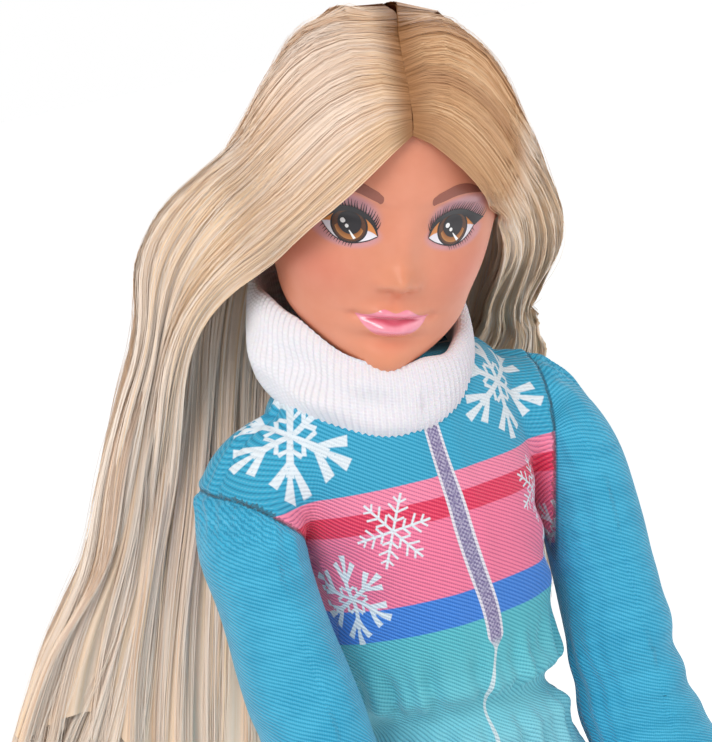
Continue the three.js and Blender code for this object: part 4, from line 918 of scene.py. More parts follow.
def face_point(x, z, lift=0.0):
    """A point of the face at x and z of the head's frame, lifted off the surface."""
    def depth(x, z):
        half, middle, deep = head_section(z)
        forward = np.sqrt(np.clip(1 - (x / half) ** 2, 0.0001, 1))
        return middle - deep * forward - face_relief(x, z) * smooth(forward, 0, 0.4)
    x, z = np.broadcast_arrays(np.asarray(x, float), np.asarray(z, float))
    y = depth(x, z)
    step = 0.05
    slope_x = (depth(x + step, z) - depth(x - step, z)) / (2 * step)
    slope_z = (depth(x, z + step) - depth(x, z - step)) / (2 * step)
    normal = unit(np.stack([slope_x, -np.ones_like(y), slope_z], axis=-1))
    return np.stack([x, y, z], axis=-1) + normal * np.asarray(lift)[..., None]


def skin_material():
    """Rotocast vinyl, matt with a soft waxy depth; the make-up is sprayed on in thin clouds."""
    look = Look(
        "skin_vinyl", "#e0957a", 0.46, Subsurface_Weight=0.12, Subsurface_Scale=0.0012,
        Subsurface_Radius=(1.0, 0.42, 0.26), Specular_IOR_Level=0.42, Coat_Weight=0.06, Coat_Roughness=0.35,
    )
    add, place = look.add, look.place()
    blush_and_nose_shade, warm, shadow = (add("Attribute", out="Fac", attribute_name=name) for name in ("blush_and_nose_shade", "warm", "shadow"))
    # Clouds of 6 mm in the vinyl, and specks of 0.1 mm in the sprayed eye shadow. The mould's grit, about 0.05 mm, is
    # too fine to show and is drawn at 0.3 mm.
    mottled = add("MapRange", add("TexNoise", place, 0.16, 3, 0.55), 0.3, 0.7)
    shade = add("Mix", mottled, "#df8f71", "#e5987c")
    # Blush on the cheeks, with painted shade in it just under the nose
    shade = add("Mix", add("Math MULTIPLY", blush_and_nose_shade, 0.32), shade, "#dd6f62")
    shade = add("Mix", add("Math MULTIPLY", warm, 0.4), shade, "#e2946a")
    lilac = add("Mix", add("TexNoise", place, 9.0, 2, 0.55), "#c58a9a", "#dba9b4")
    shade = add("Mix", add("Math MULTIPLY", shadow, 0.85), shade, lilac)
    look.set(Base_Color=shade, Roughness=add("Math MULTIPLY_ADD", shadow, -0.1, 0.46))
    look.set(Normal=add("Bump", add("TexNoise", place, 3.5, 3, 0.55), 0.02 * MM, 0.25))
    return look.material


skin_look = skin_material()


def make_head():
    rows, columns = 230, 240
    share = -0.5 * np.cos(np.pi * np.linspace(0, 1, rows))
    share = mix(share, np.linspace(-0.5, 0.5, rows), 0.55)
    z = (share * HEAD_H)[:, None]
    even = np.arange(columns) / columns * TAU
    angle = even - 0.5 * np.sin(even)
    half, middle, deep = head_section(z[:, 0])
    x = half[:, None] * np.sin(angle)
    forward = np.cos(angle)[None]
    y = middle[:, None] - deep[:, None] * forward - face_relief(x, z) * smooth(forward, 0, 0.4)
    points = np.stack([x, y, np.broadcast_to(z, x.shape)], axis=-1).reshape(-1, 3)
    # Ears, as low shells with a hollow, pulled out of the sides
    for way in (-1, 1):
        side = way * points[:, 0] > 5
        offset = (points - [way * 14.0, 2.4, -2.6]) / [6.0, 2.9, 4.3]
        far = np.linalg.norm(offset[:, 1:], axis=1)
        shell = smooth(far, 1.0, 0.72) * 1.5 - 0.9 * swell(far, 0.5)
        points[side, 0] += (way * shell)[side]
    points = np.concatenate([points, points[:columns].mean(0)[None], points[-columns:].mean(0)[None]])
    wall, caps = closed_faces(rows, columns)
    px, py, pz = points.T
    front = smooth(-py, -2, 6)
    eye = np.sqrt(((np.abs(px) - 6.9) / 4.6) ** 2 + ((pz - 1.6 - 0.1 * (np.abs(px) - 6)) / 3.4) ** 2)
    lower = np.sqrt(((np.abs(px) - 6.6) / 4.4) ** 2 + ((pz + 0.6) / 2.1) ** 2)
    shadow = np.maximum(smooth(eye, 1.0, 0.62), 0.8 * smooth(lower, 1.0, 0.75)) * front
    blush_and_nose_shade = swell(np.abs(px) - 9.6, 4.2) * swell(pz + 5.6, 3.6) * front
    # A half-strength patch just under the nose is painted shade, in the colour of the blush
    blush_and_nose_shade = np.maximum(blush_and_nose_shade, 0.5 * swell(px, 1.6) * swell(pz + 8.0, 0.8) * front)
    warm = (swell(px, 3.0) * swell(pz + 5.0, 2.6) + swell(px, 7) * swell(pz + 17.5, 3)) * front
    masks = {"shadow": shadow, "blush_and_nose_shade": blush_and_nose_shade, "warm": np.clip(warm, 0, 1)}
    piece = mesh_object("head_vinyl", from_head(points), [wall, caps], masks=masks, material=skin_look)
    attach(piece, "head")
    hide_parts("head")


make_head()

# Printed face: thin layers of paint on the vinyl, each a little above the one below

EYE_X, EYE_Z, IRIS = 6.3, 0.1, 2.08
# Lower edge of the upper lid and upper edge of the lower lid, as x outwards and z
UPPER_LID = [(3.1, -0.6), (3.7, 0.55), (4.7, 1.42), (6.2, 1.92), (7.6, 1.65), (8.6, 0.85), (9.3, -0.05)]
LOWER_LID = [(3.1, -0.6), (4.1, -1.22), (5.4, -1.68), (6.5, -1.8), (7.7, -1.52), (8.6, -0.9), (9.3, -0.05)]
LINER_TOP = [(3.0, -0.6), (3.5, 1.0), (4.6, 2.0), (6.2, 2.52), (7.8, 2.28), (9.2, 1.5), (10.7, 0.6)]
LINER_LOW = [(3.1, -0.6), (3.7, 0.5), (4.7, 1.32), (6.2, 1.8), (7.6, 1.5), (8.6, 0.68), (9.35, -0.12)]
BROW_LOW = [(2.95, 3.6), (4.1, 4.0), (6.0, 4.7), (7.8, 4.75), (9.9, 4.25)]
BROW_TOP = [(2.95, 4.8), (4.1, 5.35), (6.0, 6.05), (7.8, 5.85), (10.05, 4.55)]


def paint_look(name, shade, roughness, speck):
    """Tampo-printed enamel: flat ink with a slight gloss and faint grain of the pad, 0.14 mm to show."""
    look = Look(name, shade, roughness, Specular_IOR_Level=0.5)
    grain = look.add("TexNoise", look.place(), 7.0, 2, 0.55)
    specks = look.add("Math MULTIPLY", look.add("MapRange", grain, 0.45, 0.75), 0.25)
    look.set(Base_Color=look.add("Mix", specks, shade, speck), Normal=look.add("Bump", grain, 0.006 * MM, 0.3))
    return look


def paint_strip(name, low, high, lift, look, side, across):
    """A strip of paint between two lines of (x outwards, z)."""
    flat = between(spline(low, 60), spline(high, 60), across)
    flat_paint(name, flat * [WAY[side], 1], lift, look, flip=side == "left")


def flat_paint(name, flat, lift, look, flip=False):
    """A layer of paint over rows of (x, z) on the face, lifted off the vinyl."""
    rows, columns, _ = flat.shape
    points = face_point(flat[..., 0], flat[..., 1], lift).reshape(-1, 3)
    faces = grid_faces(rows, columns)
    if flip:
        faces = faces[:, ::-1]
    uv = np.stack(np.meshgrid(np.linspace(0, 1, columns), np.linspace(0, 1, rows)), axis=-1).reshape(-1, 2)
    piece = mesh_object(name, from_head(points), [faces], uvs={"layer": uv}, material=look.material)
    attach(piece, "head")


def paint_disc(name, x, z, radius, lift, look, stretch=1.0, clip=None):
    """A round dot of paint, kept between two height lines where asked."""
    angle = np.linspace(0, TAU, 48)
    share = np.linspace(0.02, 1, 7)[:, None]
    flat = np.stack([x + radius * share * np.cos(angle), z + radius * stretch * share * np.sin(angle)], axis=-1)
    if clip is not None:
        low, high = clip(flat[..., 0])
        flat[..., 1] = np.clip(flat[..., 1], low, high)
    flat_paint(name, flat, lift, look, flip=True)


def paint_strokes(name, strokes, lift, look, side):
    """Tapered strokes, each a list of (x outwards, z, half width)."""
    way = WAY[side]
    points, faces, start = [], [], 0
    for stroke in strokes:
        stroke = np.asarray(stroke, float)
        line = stroke[:, :2]
        run = unit(np.gradient(line, axis=0))
        across = np.column_stack([-run[:, 1], run[:, 0]]) * stroke[:, 2:3]
        flat = np.stack([line + across, line - across]) * [way, 1]
        points.append(face_point(flat[..., 0], flat[..., 1], lift).reshape(-1, 3))
        part = grid_faces(2, len(stroke), start=start)
        faces.append(part[:, ::-1] if way < 0 else part)
        start += 2 * len(stroke)
    piece = mesh_object(name, from_head(np.concatenate(points)), [np.concatenate(faces)], material=look.material)
    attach(piece, "head")


def lid_clip(way):
    """Limits between the lids, for paint of one eye, at any x."""
    upper, lower = spline(UPPER_LID, 80), spline(LOWER_LID, 80)

    def limits(x):
        out = x * way
        return np.interp(out, lower[:, 0], lower[:, 1]), np.interp(out, upper[:, 0], upper[:, 1]) + 0.12
    return limits


def bristle(x, z, way_x, way_z, length, width, curl):
    """One lash: starts at a lid, leans by (way_x, way_z) and curls towards the outside."""
    t = np.linspace(0, 1, 6)
    run = np.array([way_x, way_z]) / math.hypot(way_x, way_z)
    line = np.array([x, z]) + t[:, None] * length * run + (t**2)[:, None] * curl * np.array([run[1], -run[0]])
    return np.column_stack([line, width * (1 - 0.85 * t)])


def make_face():
    ink = paint_look("ink_black", "#1b171e", 0.3, "#2a242c")
    brow = paint_look("ink_brow", "#97594a", 0.45, "#a9685a")
    brown = paint_look("ink_brown", "#5a3826", 0.25, "#6b4732")
    white = paint_look("ink_white", "#ffffff", 0.25, "#f4f4fa")
    # Glossier inks of the eye: amber that pales towards its edge, and lilac white with painted shadow of the upper
    # lid: darker towards it and tan under it
    amber = Look("ink_amber", "#b9783e", 0.25)
    amber.set(Base_Color=amber.add("Mix", amber.uv("layer")[1], "#8d5229", "#bd7f45"))
    sclera = Look("ink_eye_white", "#ece7f2", 0.28)
    add = sclera.add
    u, v, _ = sclera.uv("layer")
    # Painted shadow of the upper lid: tan above a curved line, over white that grows darker towards the lid
    edge = add("Math MULTIPLY_ADD", add("Math ABSOLUTE", add("Math SUBTRACT", u, 0.45)), 0.35, 0.42)
    painted_lid_shadow = add("MapRange", v, edge, add("Math ADD", edge, 0.08))
    sclera.set(Base_Color=add("Mix", painted_lid_shadow, add("Mix", v, "#f6f3fa", "#dcd5e6"), "#d98b4c"))
    for side, way in WAY.items():
        x, z = way * EYE_X, EYE_Z
        paint_strip(f"{side}_eye_white", LOWER_LID, UPPER_LID, 0.02, sclera, side, across=14)
        clip = lid_clip(way)
        paint_disc(f"{side}_iris_rim", x, z, IRIS, 0.035, ink, 0.98, clip)
        paint_disc(f"{side}_iris", x, z, IRIS - 0.2, 0.05, brown, 0.98, clip)
        # Bright crescent low in the iris
        angle = np.linspace(math.radians(192), math.radians(348), 40)
        outer = np.column_stack([x + 1.62 * np.cos(angle), z + 1.6 * np.sin(angle)])
        inner = np.column_stack([x + 1.3 * np.cos(angle), z + 0.15 + 0.95 * np.sin(angle)])
        flat_paint(f"{side}_iris_light", between(inner, outer, 6), 0.065, amber)
        paint_disc(f"{side}_pupil", x + 0.04, z + 0.34, 1.32, 0.08, ink, 1.02, clip)
        paint_disc(f"{side}_glint_high", x - 0.72, z + 0.42, 0.29, 0.1, white)
        paint_disc(f"{side}_glint_low", x - 0.26, z - 0.12, 0.21, 0.1, white)
        streak = [(EYE_X + way * 0.02, z - 0.55, 0.06), (EYE_X + way * 0.35, z - 1.0, 0.12),
                  (EYE_X + way * 0.68, z - 1.42, 0.17)]
        paint_strokes(f"{side}_glint_streak", [streak], 0.1, white, side)
        paint_strip(f"{side}_upper_liner", LINER_LOW, LINER_TOP, 0.09, ink, side, across=5)
        thin = [(a, b - 0.12) for a, b in LOWER_LID]
        paint_strip(f"{side}_lower_liner", thin, LOWER_LID, 0.06, ink, side, across=3)
        dice = np.random.default_rng(3)
        rim, strokes = spline(LINER_TOP, 100), []
        for share in np.linspace(0.1, 0.97, 27):
            px, pz = rim[int(share * 99)]
            lean = mix(-0.75, 1.5, share ** 1.1)
            long = 0.95 + 0.45 * math.sin(math.pi * min(share * 0.95, 1)) * dice.uniform(0.8, 1.1)
            strokes.append(bristle(px, pz - 0.08, lean + dice.uniform(-0.08, 0.08), 1.05, long, 0.075, -0.3 * lean))
        paint_strokes(f"{side}_upper_lashes", strokes, 0.1, ink, side)
        rim, strokes = spline(LOWER_LID, 100), []
        for share in np.linspace(0.42, 0.95, 13):
            px, pz = rim[int(share * 99)]
            lean = mix(0.05, 1.1, share)
            strokes.append(bristle(px, pz - 0.05, lean, -1.0, 0.55 + dice.uniform(-0.08, 0.08), 0.05, 0.1))
        paint_strokes(f"{side}_lower_lashes", strokes, 0.08, ink, side)
        # The brow, with its inner end rounded off
        flat = between(spline(BROW_LOW, 50), spline(BROW_TOP, 50), 8)
        ends = np.abs(np.linspace(0, 1, 8)[:, None] - 0.5) * 2
        flat[:, :, 0] += (0.34 * (1 - np.sqrt(1 - ends ** 2 * 0.98))) * swell(np.linspace(0, 1, 50), 0.09)
        flat_paint(f"{side}_brow", flat * [way, 1], 0.03, brow, flip=way > 0)


make_face()


def lip_look():
    """Painted lips: pearl pink lacquer, glossier than the vinyl round it, and darker where they meet."""
    look = Look("lip_lacquer", "#f0829a", 0.2, Coat_Weight=0.7, Coat_Roughness=0.08, Specular_IOR_Level=0.6)
    add, place = look.add, look.place()
    u, v, _ = look.uv("layer")
    aside = add("Math ABSOLUTE", add("Math SUBTRACT", u, 0.5))
    meeting = add("Math ABSOLUTE", add("Math SUBTRACT", v, add("Math MULTIPLY_ADD", aside, -0.1, 0.56)))
    deep = add("Math MULTIPLY", add("MapRange", meeting, 0.12, 0.0), add("MapRange", aside, 0.42, 0.25))
    # Clouds of 0.8 mm in the pearl, and creases 0.3 mm wide that run down the lips
    shade = add("Mix", add("TexNoise", place, 1.2, 3, 0.55), "#ee7f97", "#f7a0b1")
    shade = add("Mix", add("Math MULTIPLY", deep, 0.75), shade, "#c9475f")
    creases = add("TexNoise", add("VectorMath MULTIPLY", place, (1, 1, 0.25)), 3.2, 3, 0.55)
    look.set(Base_Color=shade, Normal=add("Bump", creases, 0.03 * MM, 0.35))
    return look


def make_lips():
    upper = [(-4.5, -10.85), (-3.2, -10.55), (-1.5, -9.62), (0, -9.95), (1.5, -9.62), (3.2, -10.55), (4.5, -10.85)]
    lower = [(-4.5, -10.95), (-3.4, -12.1), (-1.6, -13.25), (0, -13.5), (1.6, -13.25), (3.4, -12.1), (4.5, -10.95)]
    top, low = spline(upper, 90), spline(lower, 90)
    flat = between(low, top, 26)
    lift = np.broadcast_to(0.05 * np.sin(np.linspace(0.12, math.pi - 0.12, 26))[:, None], flat.shape[:2])
    flat_paint("lips", flat, lift, lip_look(), flip=True)


make_lips()

# Knitted roll collar

COLLAR_WIDE, COLLAR_DEEP, COLLAR_TALL = 25.6, 26.0, 10.0
COLLAR_X, COLLAR_FOOT = -0.063 * COLLAR_WIDE, SHOULDER_Z + 0.195 * (SHOULDER_Z - WAIST_Z)
# Ribs in TAU mm, so that each is 0.8 mm wide, and the height of a stitch in mm. Both are coarser than real ones, to
# show. The rows of stitches rise and fall slowly over ROW_WAVE mm.
RIB_RATE, STITCH, ROW_WAVE = 8.0, 0.42, 26


def knit_material():
    """Acrylic rib knit: matt and soft, with a faint sheen of fuzz, and painted shade, greyer, between its ribs."""
    look = Look(
        "rib_knit", "#f3f1f6", 0.85, Sheen_Weight=0.35, Sheen_Roughness=0.5, Subsurface_Weight=0.1,
        Subsurface_Scale=0.0006,
    )
    add = look.add
    u, v, place = look.uv("knit")
    rise = add("Math SINE", add("Math MULTIPLY", u, TAU / ROW_WAVE))
    slant = add("Math ABSOLUTE", add("Math MULTIPLY", rise, 2.0))
    stitch = add("Math SINE", add("Math ADD", add("Math MULTIPLY", v, TAU / STITCH), slant))
    # Fuzz drawn at 0.2 mm, because real fibres have about 0.02 mm and don't show
    fuzz = add("TexNoise", place, 5.0, 4, 0.7)
    # Painted shade: greyer between the ribs
    painted_groove_shade = add("MapRange", add("Math SINE", add("Math MULTIPLY", u, RIB_RATE)), 0.1, -0.9)
    shade = add("Mix", fuzz, "#f6f4f8", "#eeebf2")
    shade = add("Mix", add("Math MULTIPLY", painted_groove_shade, 0.35), shade, "#c9c3d2")
    height = add("Math MULTIPLY_ADD", stitch, 0.25, add("Math MULTIPLY_ADD", fuzz, 0.4, 0.3))
    look.set(Base_Color=shade, Normal=add("Bump", height, 0.09 * MM, 0.8))
    return look.material


knit_look = knit_material()


def knit_piece(name, points, line, angle, turn, body, node):
    """A tube of knit: its mesh, the body that it rides, and the node that it dresses."""
    uv = np.stack(np.broadcast_arrays((angle * turn)[None], lengths_along(line)[:, None]), axis=-1).reshape(-1, 2)
    faces = grid_faces(len(line), len(angle), True)
    piece = mesh_object(name, points, [faces], uvs={"knit": (uv, turn * TAU)}, material=knit_look)
    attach(piece, body)
    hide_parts(node)


def collar_point(angle, share, out):
    """Point of the collar at an angle from the front, a share of its height, and mm out from its widest line."""
    front = (1 + np.cos(angle)) / 2
    low = COLLAR_FOOT - COLLAR_TALL * front**2
    high = COLLAR_FOOT + COLLAR_TALL * (1.08 - 1.25 * front**2 - 0.2 * np.sin(angle))
    lean = 0.1 * COLLAR_TALL * share
    x = COLLAR_X + lean + (COLLAR_WIDE / 2 + out) * np.sin(angle)
    return np.stack([x, -lean - (COLLAR_DEEP / 2 + out) * np.cos(angle), mix(low, high, share)], axis=-1)


def outside_head(points, gap):
    """Moves points that are inside the head, or nearer than a gap, out along its section."""
    local = into_head(points)
    half, middle, deep = head_section(np.clip(local[:, 2], -HEAD_END, HEAD_END), gap)
    dx, dy = local[:, 0] / half, (local[:, 1] - middle) / deep
    far = np.maximum(np.hypot(dx, dy), 1e-6)
    inside = (far < 1) & (np.abs(local[:, 2]) < HEAD_END + gap)
    push = np.where(inside, 1 / far, 1.0)[:, None]
    local[:, :1] *= push
    local[:, 1:2] = middle[:, None] + (local[:, 1:2] - middle[:, None]) * push
    return from_head(local)


def make_collar():
    ribs, per_rib = 104, 7
    columns = ribs * per_rib
    # Outside from the foot up, over the rim and down inside
    profile = [
        (-0.1, -0.9), (0.0, -0.1), (0.12, 0.45), (0.3, 0.7), (0.5, 0.72), (0.7, 0.5), (0.86, 0.15), (0.96, -0.35),
        (1.0, -0.95), (0.96, -1.5), (0.85, -1.9), (0.6, -2.1), (0.3, -2.2),
    ]
    line = spline(profile, 84)
    angle = np.arange(columns) / columns * TAU
    share, out = line[:, :1], line[:, 1:]
    outer = smooth(out, -1.4, -0.6)
    # Soft bulges where the roll is pushed up on the doll's right
    right = swell(((angle + 0.9 + math.pi) % TAU) - math.pi, 0.75)[None]
    crumple = np.sin(7.5 * angle[None] - 5.0 * share) * swell(share - 0.42, 0.3) * right
    crumple = crumple + 0.8 * np.sin(10 * share + 2.2 * angle[None]) * right * swell(share - 0.4, 0.35)
    slack = 0.5 * np.sin(3 * angle + 0.6)[None] * swell(share - 0.4, 0.5)
    shapes = out + outer * (0.75 * crumple + 0.5 * slack + 0.55 * right * swell(share - 0.35, 0.3))
    points = collar_point(np.broadcast_to(angle, shapes.shape), np.broadcast_to(share, shapes.shape), shapes)
    # The rim dips and bunches a little
    dip = 0.35 * np.sin(5 * angle + 1.0) + 0.2 * np.sin(11 * angle)
    points[..., 2] += dip[None] * smooth(share, 0.5, 1)
    points = outside_head(points.reshape(-1, 3), 0.35)
    phase = np.arange(columns) * TAU / per_rib
    radial = unit((points - [COLLAR_X, 0, 0]) * [1, 1, 0]).reshape(len(line), columns, 3)
    rib = 0.13 * np.cos(phase)[None] * np.where(out > -1.6, 1, 0.4)
    points = (points.reshape(radial.shape) + radial * (rib * outer)[..., None]).reshape(-1, 3)
    knit_piece(
        "roll_collar", points, line * [COLLAR_TALL, 1], angle, ribs / RIB_RATE, "torso", "knit_collar",
    )


make_collar()

# Knitted bands: a turned-back tube of ribs round any line


def knit_band(name, place, profile, ribs, body, node):
    """place: (angle, mm down, mm out) to points. profile: (mm down, mm out) from the outside round to the inside."""
    per_rib, columns = 6, ribs * 6
    line = spline(profile, 56)
    angle = np.arange(columns) / columns * TAU
    rib = 0.12 * np.cos(np.arange(columns) * TAU / per_rib)[None]
    soft = 0.14 * waves(np.column_stack([np.cos(angle), np.sin(angle)]) * 3, 2.2, ribs)[None]
    out = line[:, 1:] + (rib + soft) * smooth(line[:, 1:], -0.9, -0.1)
    down = np.broadcast_to(line[:, :1], out.shape)
    points = place(np.broadcast_to(angle, out.shape), down, out).reshape(-1, 3)
    knit_piece(name, points, line, angle, ribs / RIB_RATE, body, node)


def make_cuffs():
    for side in ("left", "right"):
        line = arm_stations(side, 160)
        end, way = line[-1], unit(line[-1] - line[-2])
        across, other = cross_axes(way)

        def place(angle, down, out):
            ring = np.cos(angle)[..., None] * across + np.sin(angle)[..., None] * other
            return end + way * down[..., None] + ring * (4.75 + out)[..., None]
        profile = [(0.3, -0.5), (0.5, 0.0), (2.2, 0.3), (4.2, 0.22), (6.2, 0.3), (7.6, 0.1), (8.1, -0.4), (7.7, -0.9),
                   (5.0, -1.05), (2.0, -1.05)]
        arm = f"{side}_arm"
        knit_band(f"{side}_knit_cuff", place, profile, 38, arm, f"{side}_cuff")


make_cuffs()

# Trouser legs of the same cloth, one skin a leg, cut above the knee; height, half width, front, back
LEG_ROWS = [
    (34.6, 5.9, 5.9, 5.9), (40, 6.1, 6.1, 6.1), (43.5, 7.2, 7.3, 7.5), (47.2, 8.1, 8.25, 8.5), (64, 7.9, 7.9, 8.8),
    (84.9, 8.6, 8.6, 8.9), (94, 8.7, 8.7, 8.7), (116, 9.3, 9.5, 9.5), (141, 9.8, 10.0, 10.0), (150, 9.8, 9.8, 9.8),
    (155, 9.4, 9.4, 9.4), (158.5, 8.7, 8.7, 8.7), (161.5, 7.8, 7.8, 7.8),
]
LEG_CUT = 100.0
# Gusset over the top of a leg: radius, and heights of its foot and top
GUSSET_ROUND, GUSSET_FOOT, GUSSET_TOP = 8.1, 160.6, 165.8


def plain_masks(count):
    """The masks of the suit's cloth, for a piece with no seam of the yoke and no flakes."""
    plain = np.zeros((count, 3), np.float32)
    return {"seam": np.full(count, -5.0), "large_flakes": plain, "small_flakes": plain}


def seat_gusset(side, angle):
    """The round of cloth over the top of one trouser leg, hidden in the seat until the leg swings."""
    way, rows, columns = WAY[side], 14, len(angle)
    rise = np.linspace(0, 0.97, rows)[:, None] * math.pi / 2
    radius, z = GUSSET_ROUND * np.cos(rise), GUSSET_FOOT + (GUSSET_TOP - GUSSET_FOOT) * np.sin(rise)
    ring = np.stack(np.broadcast_arrays(
        way * HIP_X + radius * np.sin(angle), -radius * np.cos(angle), z,
    ), axis=-1)
    points = np.concatenate([ring.reshape(-1, 3), [[way * HIP_X, 0, GUSSET_TOP]]])
    faces = grid_faces(rows, columns, True)
    cap = fan_faces(np.arange(columns) + (rows - 1) * columns, len(points) - 1)
    uvs = {"print": np.column_stack([40 + 0 * points[:, 2], points[:, 2]]), "weave": points[:, :2]}
    piece = mesh_object(f"{side}_seat_gusset", points, [faces, cap], uvs, plain_masks(len(points)), suit_look)
    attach(piece, f"{side}_upper_leg")
    return piece


def make_legs():
    columns, heights = 108, np.linspace(LEG_ROWS[0][0], LEG_ROWS[-1][0], 190)
    angle = np.arange(columns) / columns * TAU
    wide, front, back = (v[:, None] for v in np.moveaxis(table_at(LEG_ROWS, heights), -1, 0))
    for side, way in WAY.items():
        x = wide * np.sin(angle)
        y = -np.where(np.cos(angle) > 0, front, back) * np.cos(angle)
        z = np.broadcast_to(heights[:, None], x.shape)
        points = np.stack([way * HIP_X + x, y, z], axis=-1).reshape(-1, 3)
        faces = grid_faces(len(heights), columns, True)
        normals = corner_normals(points, faces)
        z, behind = points[:, 2], smooth(points[:, 1], -4, 6)
        turn = np.tile(angle, len(heights))
        # Creases behind the knee, slack cloth over the boot, drag lines from the seat, soft dents
        move = 0.42 * np.sin((z - 88) * 1.25 + 0.7 * np.sin(turn * 2)) * swell(z - 88, 7.5) * (0.25 + 0.75 * behind)
        move += 0.42 * np.sin(z * 1.15 + turn * 1.0 + 0.5 * way) * swell(z - 51, 7.5) * smooth(z, 42, 46)
        move += 0.3 * np.sin((z + 2.2 * points[:, 0] * way) * 0.55) * swell(z - 143, 10)
        move += 0.24 * waves(points, 18, 41 + way) * smooth(z, 42, 48)
        # Stitched side seam
        aside = swell(((turn - way * math.pi / 2 + math.pi) % TAU - math.pi) * 9, 0.4)
        move -= 0.22 * aside * smooth(z, 42, 46)
        points = points + normals * move[:, None]
        normals = corner_normals(points, faces)
        if (normals[:, :2] * (points[:, :2] - [way * HIP_X, 0])).sum() < 0:
            faces, normals = faces[:, ::-1], -normals
        uvs = {"print": np.column_stack([40 + turn * 0, z]), "weave": (np.column_stack([turn * 9, -z]), 9 * TAU)}
        masks = plain_masks(len(points))
        high = points[faces][..., 2].mean(axis=1) > LEG_CUT
        for part, keep in (("thigh", high), ("calf", ~high)):
            name = f"{side}_trouser_{part}_cloth"
            piece = cut_piece(name, keep, points, faces, normals, uvs, masks, suit_look)
            if part == "thigh":
                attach(piece, f"{side}_upper_leg")
                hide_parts(f"{side}_trouser_upper")
                seat_gusset(side, angle)
            else:
                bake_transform(piece)
                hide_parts(f"{side}_trouser_lower")


make_legs()

# Knitted tops of the boots: height, half width, front and back of the boot's own wall
BOOT_TOP, BOOT_WALL = 38.6, (8.15, 8.95, 9.3)
BOOT_GAP = 0.35


def make_boot_tops():
    wide, front, back = BOOT_WALL
    for side, way in WAY.items():

        def place(angle, down, out):
            deep = np.where(np.cos(angle) > 0, front, back)
            x = way * HIP_X + (wide + BOOT_GAP + out) * np.sin(angle)
            return np.stack([x, -(deep + BOOT_GAP + out) * np.cos(angle), BOOT_TOP - down], axis=-1)
        profile = [(5.4, 0.1), (5.6, 0.9), (4.2, 1.65), (2.6, 1.75), (1.2, 1.45), (0.2, 0.8), (0.0, 0.2), (0.7, 0.0),
                   (3.0, 0.0)]
        knit_band(
            f"{side}_boot_knit", place, profile, 68, f"{side}_lower_leg", f"{side}_boot_cuff",
        )


make_boot_tops()

# Plastics and metal of the CAD pieces: the boots' quilting has a channel each 7 mm

QUILT_GAP = 7.0


def make_plastics():
    """Body: injection-moulded hard plastic, satin and a little clouded. Pins: drawn steel, streaked along its length.
    Boots: dipped soft vinyl with a thin gloss, quilted, with painted shade in the quilting's channels, on a matt
    and mottled rubber tread."""
    body = Look(
        "body_plastic", "#e09a7c", 0.38, Specular_IOR_Level=0.5, Subsurface_Weight=0.06, Subsurface_Scale=0.001,
    )
    add, place = body.add, body.place()
    # Clouds of 5 mm, and the mould's grit at 0.2 mm, coarser than real to show
    cloud = add("MapRange", add("TexNoise", place, 0.2, 3, 0.55), 0.3, 0.7)
    body.set(Base_Color=add("Mix", cloud, "#dc9476", "#e4a084"))
    body.set(Normal=add("Bump", add("TexNoise", place, 5.0, 3, 0.55), 0.015 * MM, 0.3))
    steel = Look("pin_steel", "#b9bcc2", 0.28, Metallic=1.0)
    add = steel.add
    # Drawing lines 0.1 mm wide and about 3 mm long, coarser than real to show
    drawn = add("TexNoise", add("VectorMath MULTIPLY", steel.place(), (0.25, 6, 6)), 1.5, 4, 0.7)
    steel.set(Roughness=add("Math MULTIPLY_ADD", drawn, 0.25, 0.18), Normal=add("Bump", drawn, 0.01 * MM, 0.4))
    shell = Look("boot_vinyl", "#eceaf2", 0.42, Coat_Weight=0.15, Coat_Roughness=0.3)
    add, place = shell.add, shell.place()
    level = add("SeparateXYZ", place, out="Z")
    channel = add("Math ABSOLUTE", add("Math SINE", add("Math MULTIPLY", level, math.pi / QUILT_GAP)))
    quilt = add("MapRange", channel, 0.0, 0.55)
    # Grain of the dipped vinyl, 0.3 mm, under the quilting
    height = add("Math MULTIPLY_ADD", add("TexNoise", place, 3.0, 3, 0.55), 0.08, quilt)
    # The quilting's channels sink in the bump and are darker, painted shade
    shell.set(Base_Color=add("Mix", quilt, "#cfcbdb", "#f0eef5"), Normal=add("Bump", height, 0.5 * MM, 0.8))
    tread = Look("sole_rubber", "#b9bccb", 0.7)
    add = tread.add
    # Mottling of the rubber, 0.3 mm
    grain = add("TexNoise", tread.place(), 3.5, 4, 0.7)
    tread.set(Base_Color=add("Mix", grain, "#aeb1c2", "#c4c7d4"), Normal=add("Bump", grain, 0.06 * MM, 0.6))
    dress = {
        body: ["torso_front", "torso_back", "neck_post", "hip_bar", "left_arm", "right_arm", "left_thigh",
               "right_thigh", "left_shin", "right_shin"],
        steel: ["left_knee_pin", "right_knee_pin"], shell: ["left_boot", "right_boot"],
        tread: ["left_boot_sole", "right_boot_sole"],
    }
    for look, names in dress.items():
        for name in names:
            nodes[name].data.materials.clear()
            nodes[name].data.materials.append(look.material)


make_plastics()

# Rooted hair: guides run from the parting over the head and down, and sheets and strands are laid between them.
# A guide row is h = (place in the picture, lift off the head), v = (place in the picture, depth), m = (mm) or
# s = (degrees round the skull, degrees up, lift).

SKULL_RADII, SKULL_MIDDLE = np.array([14.75, 15.9, 16.9]), np.array([0, 0.6, 3.1])


def on_skull(px, py, lift):
    """Where the view through a place of the picture meets the skull grown by a lift, or passes nearest to it."""
    radii = SKULL_RADII + lift
    o, d = (into_head(CAM_POS) - SKULL_MIDDLE) / radii, ray(px, py) @ HEAD_TURN / radii
    a, b, c = d @ d, o @ d, o @ o - 1
    t = (-b - math.sqrt(max(b * b - a * c, 0))) / a
    return from_head(((o + d * t) * radii + SKULL_MIDDLE)[None])[0]


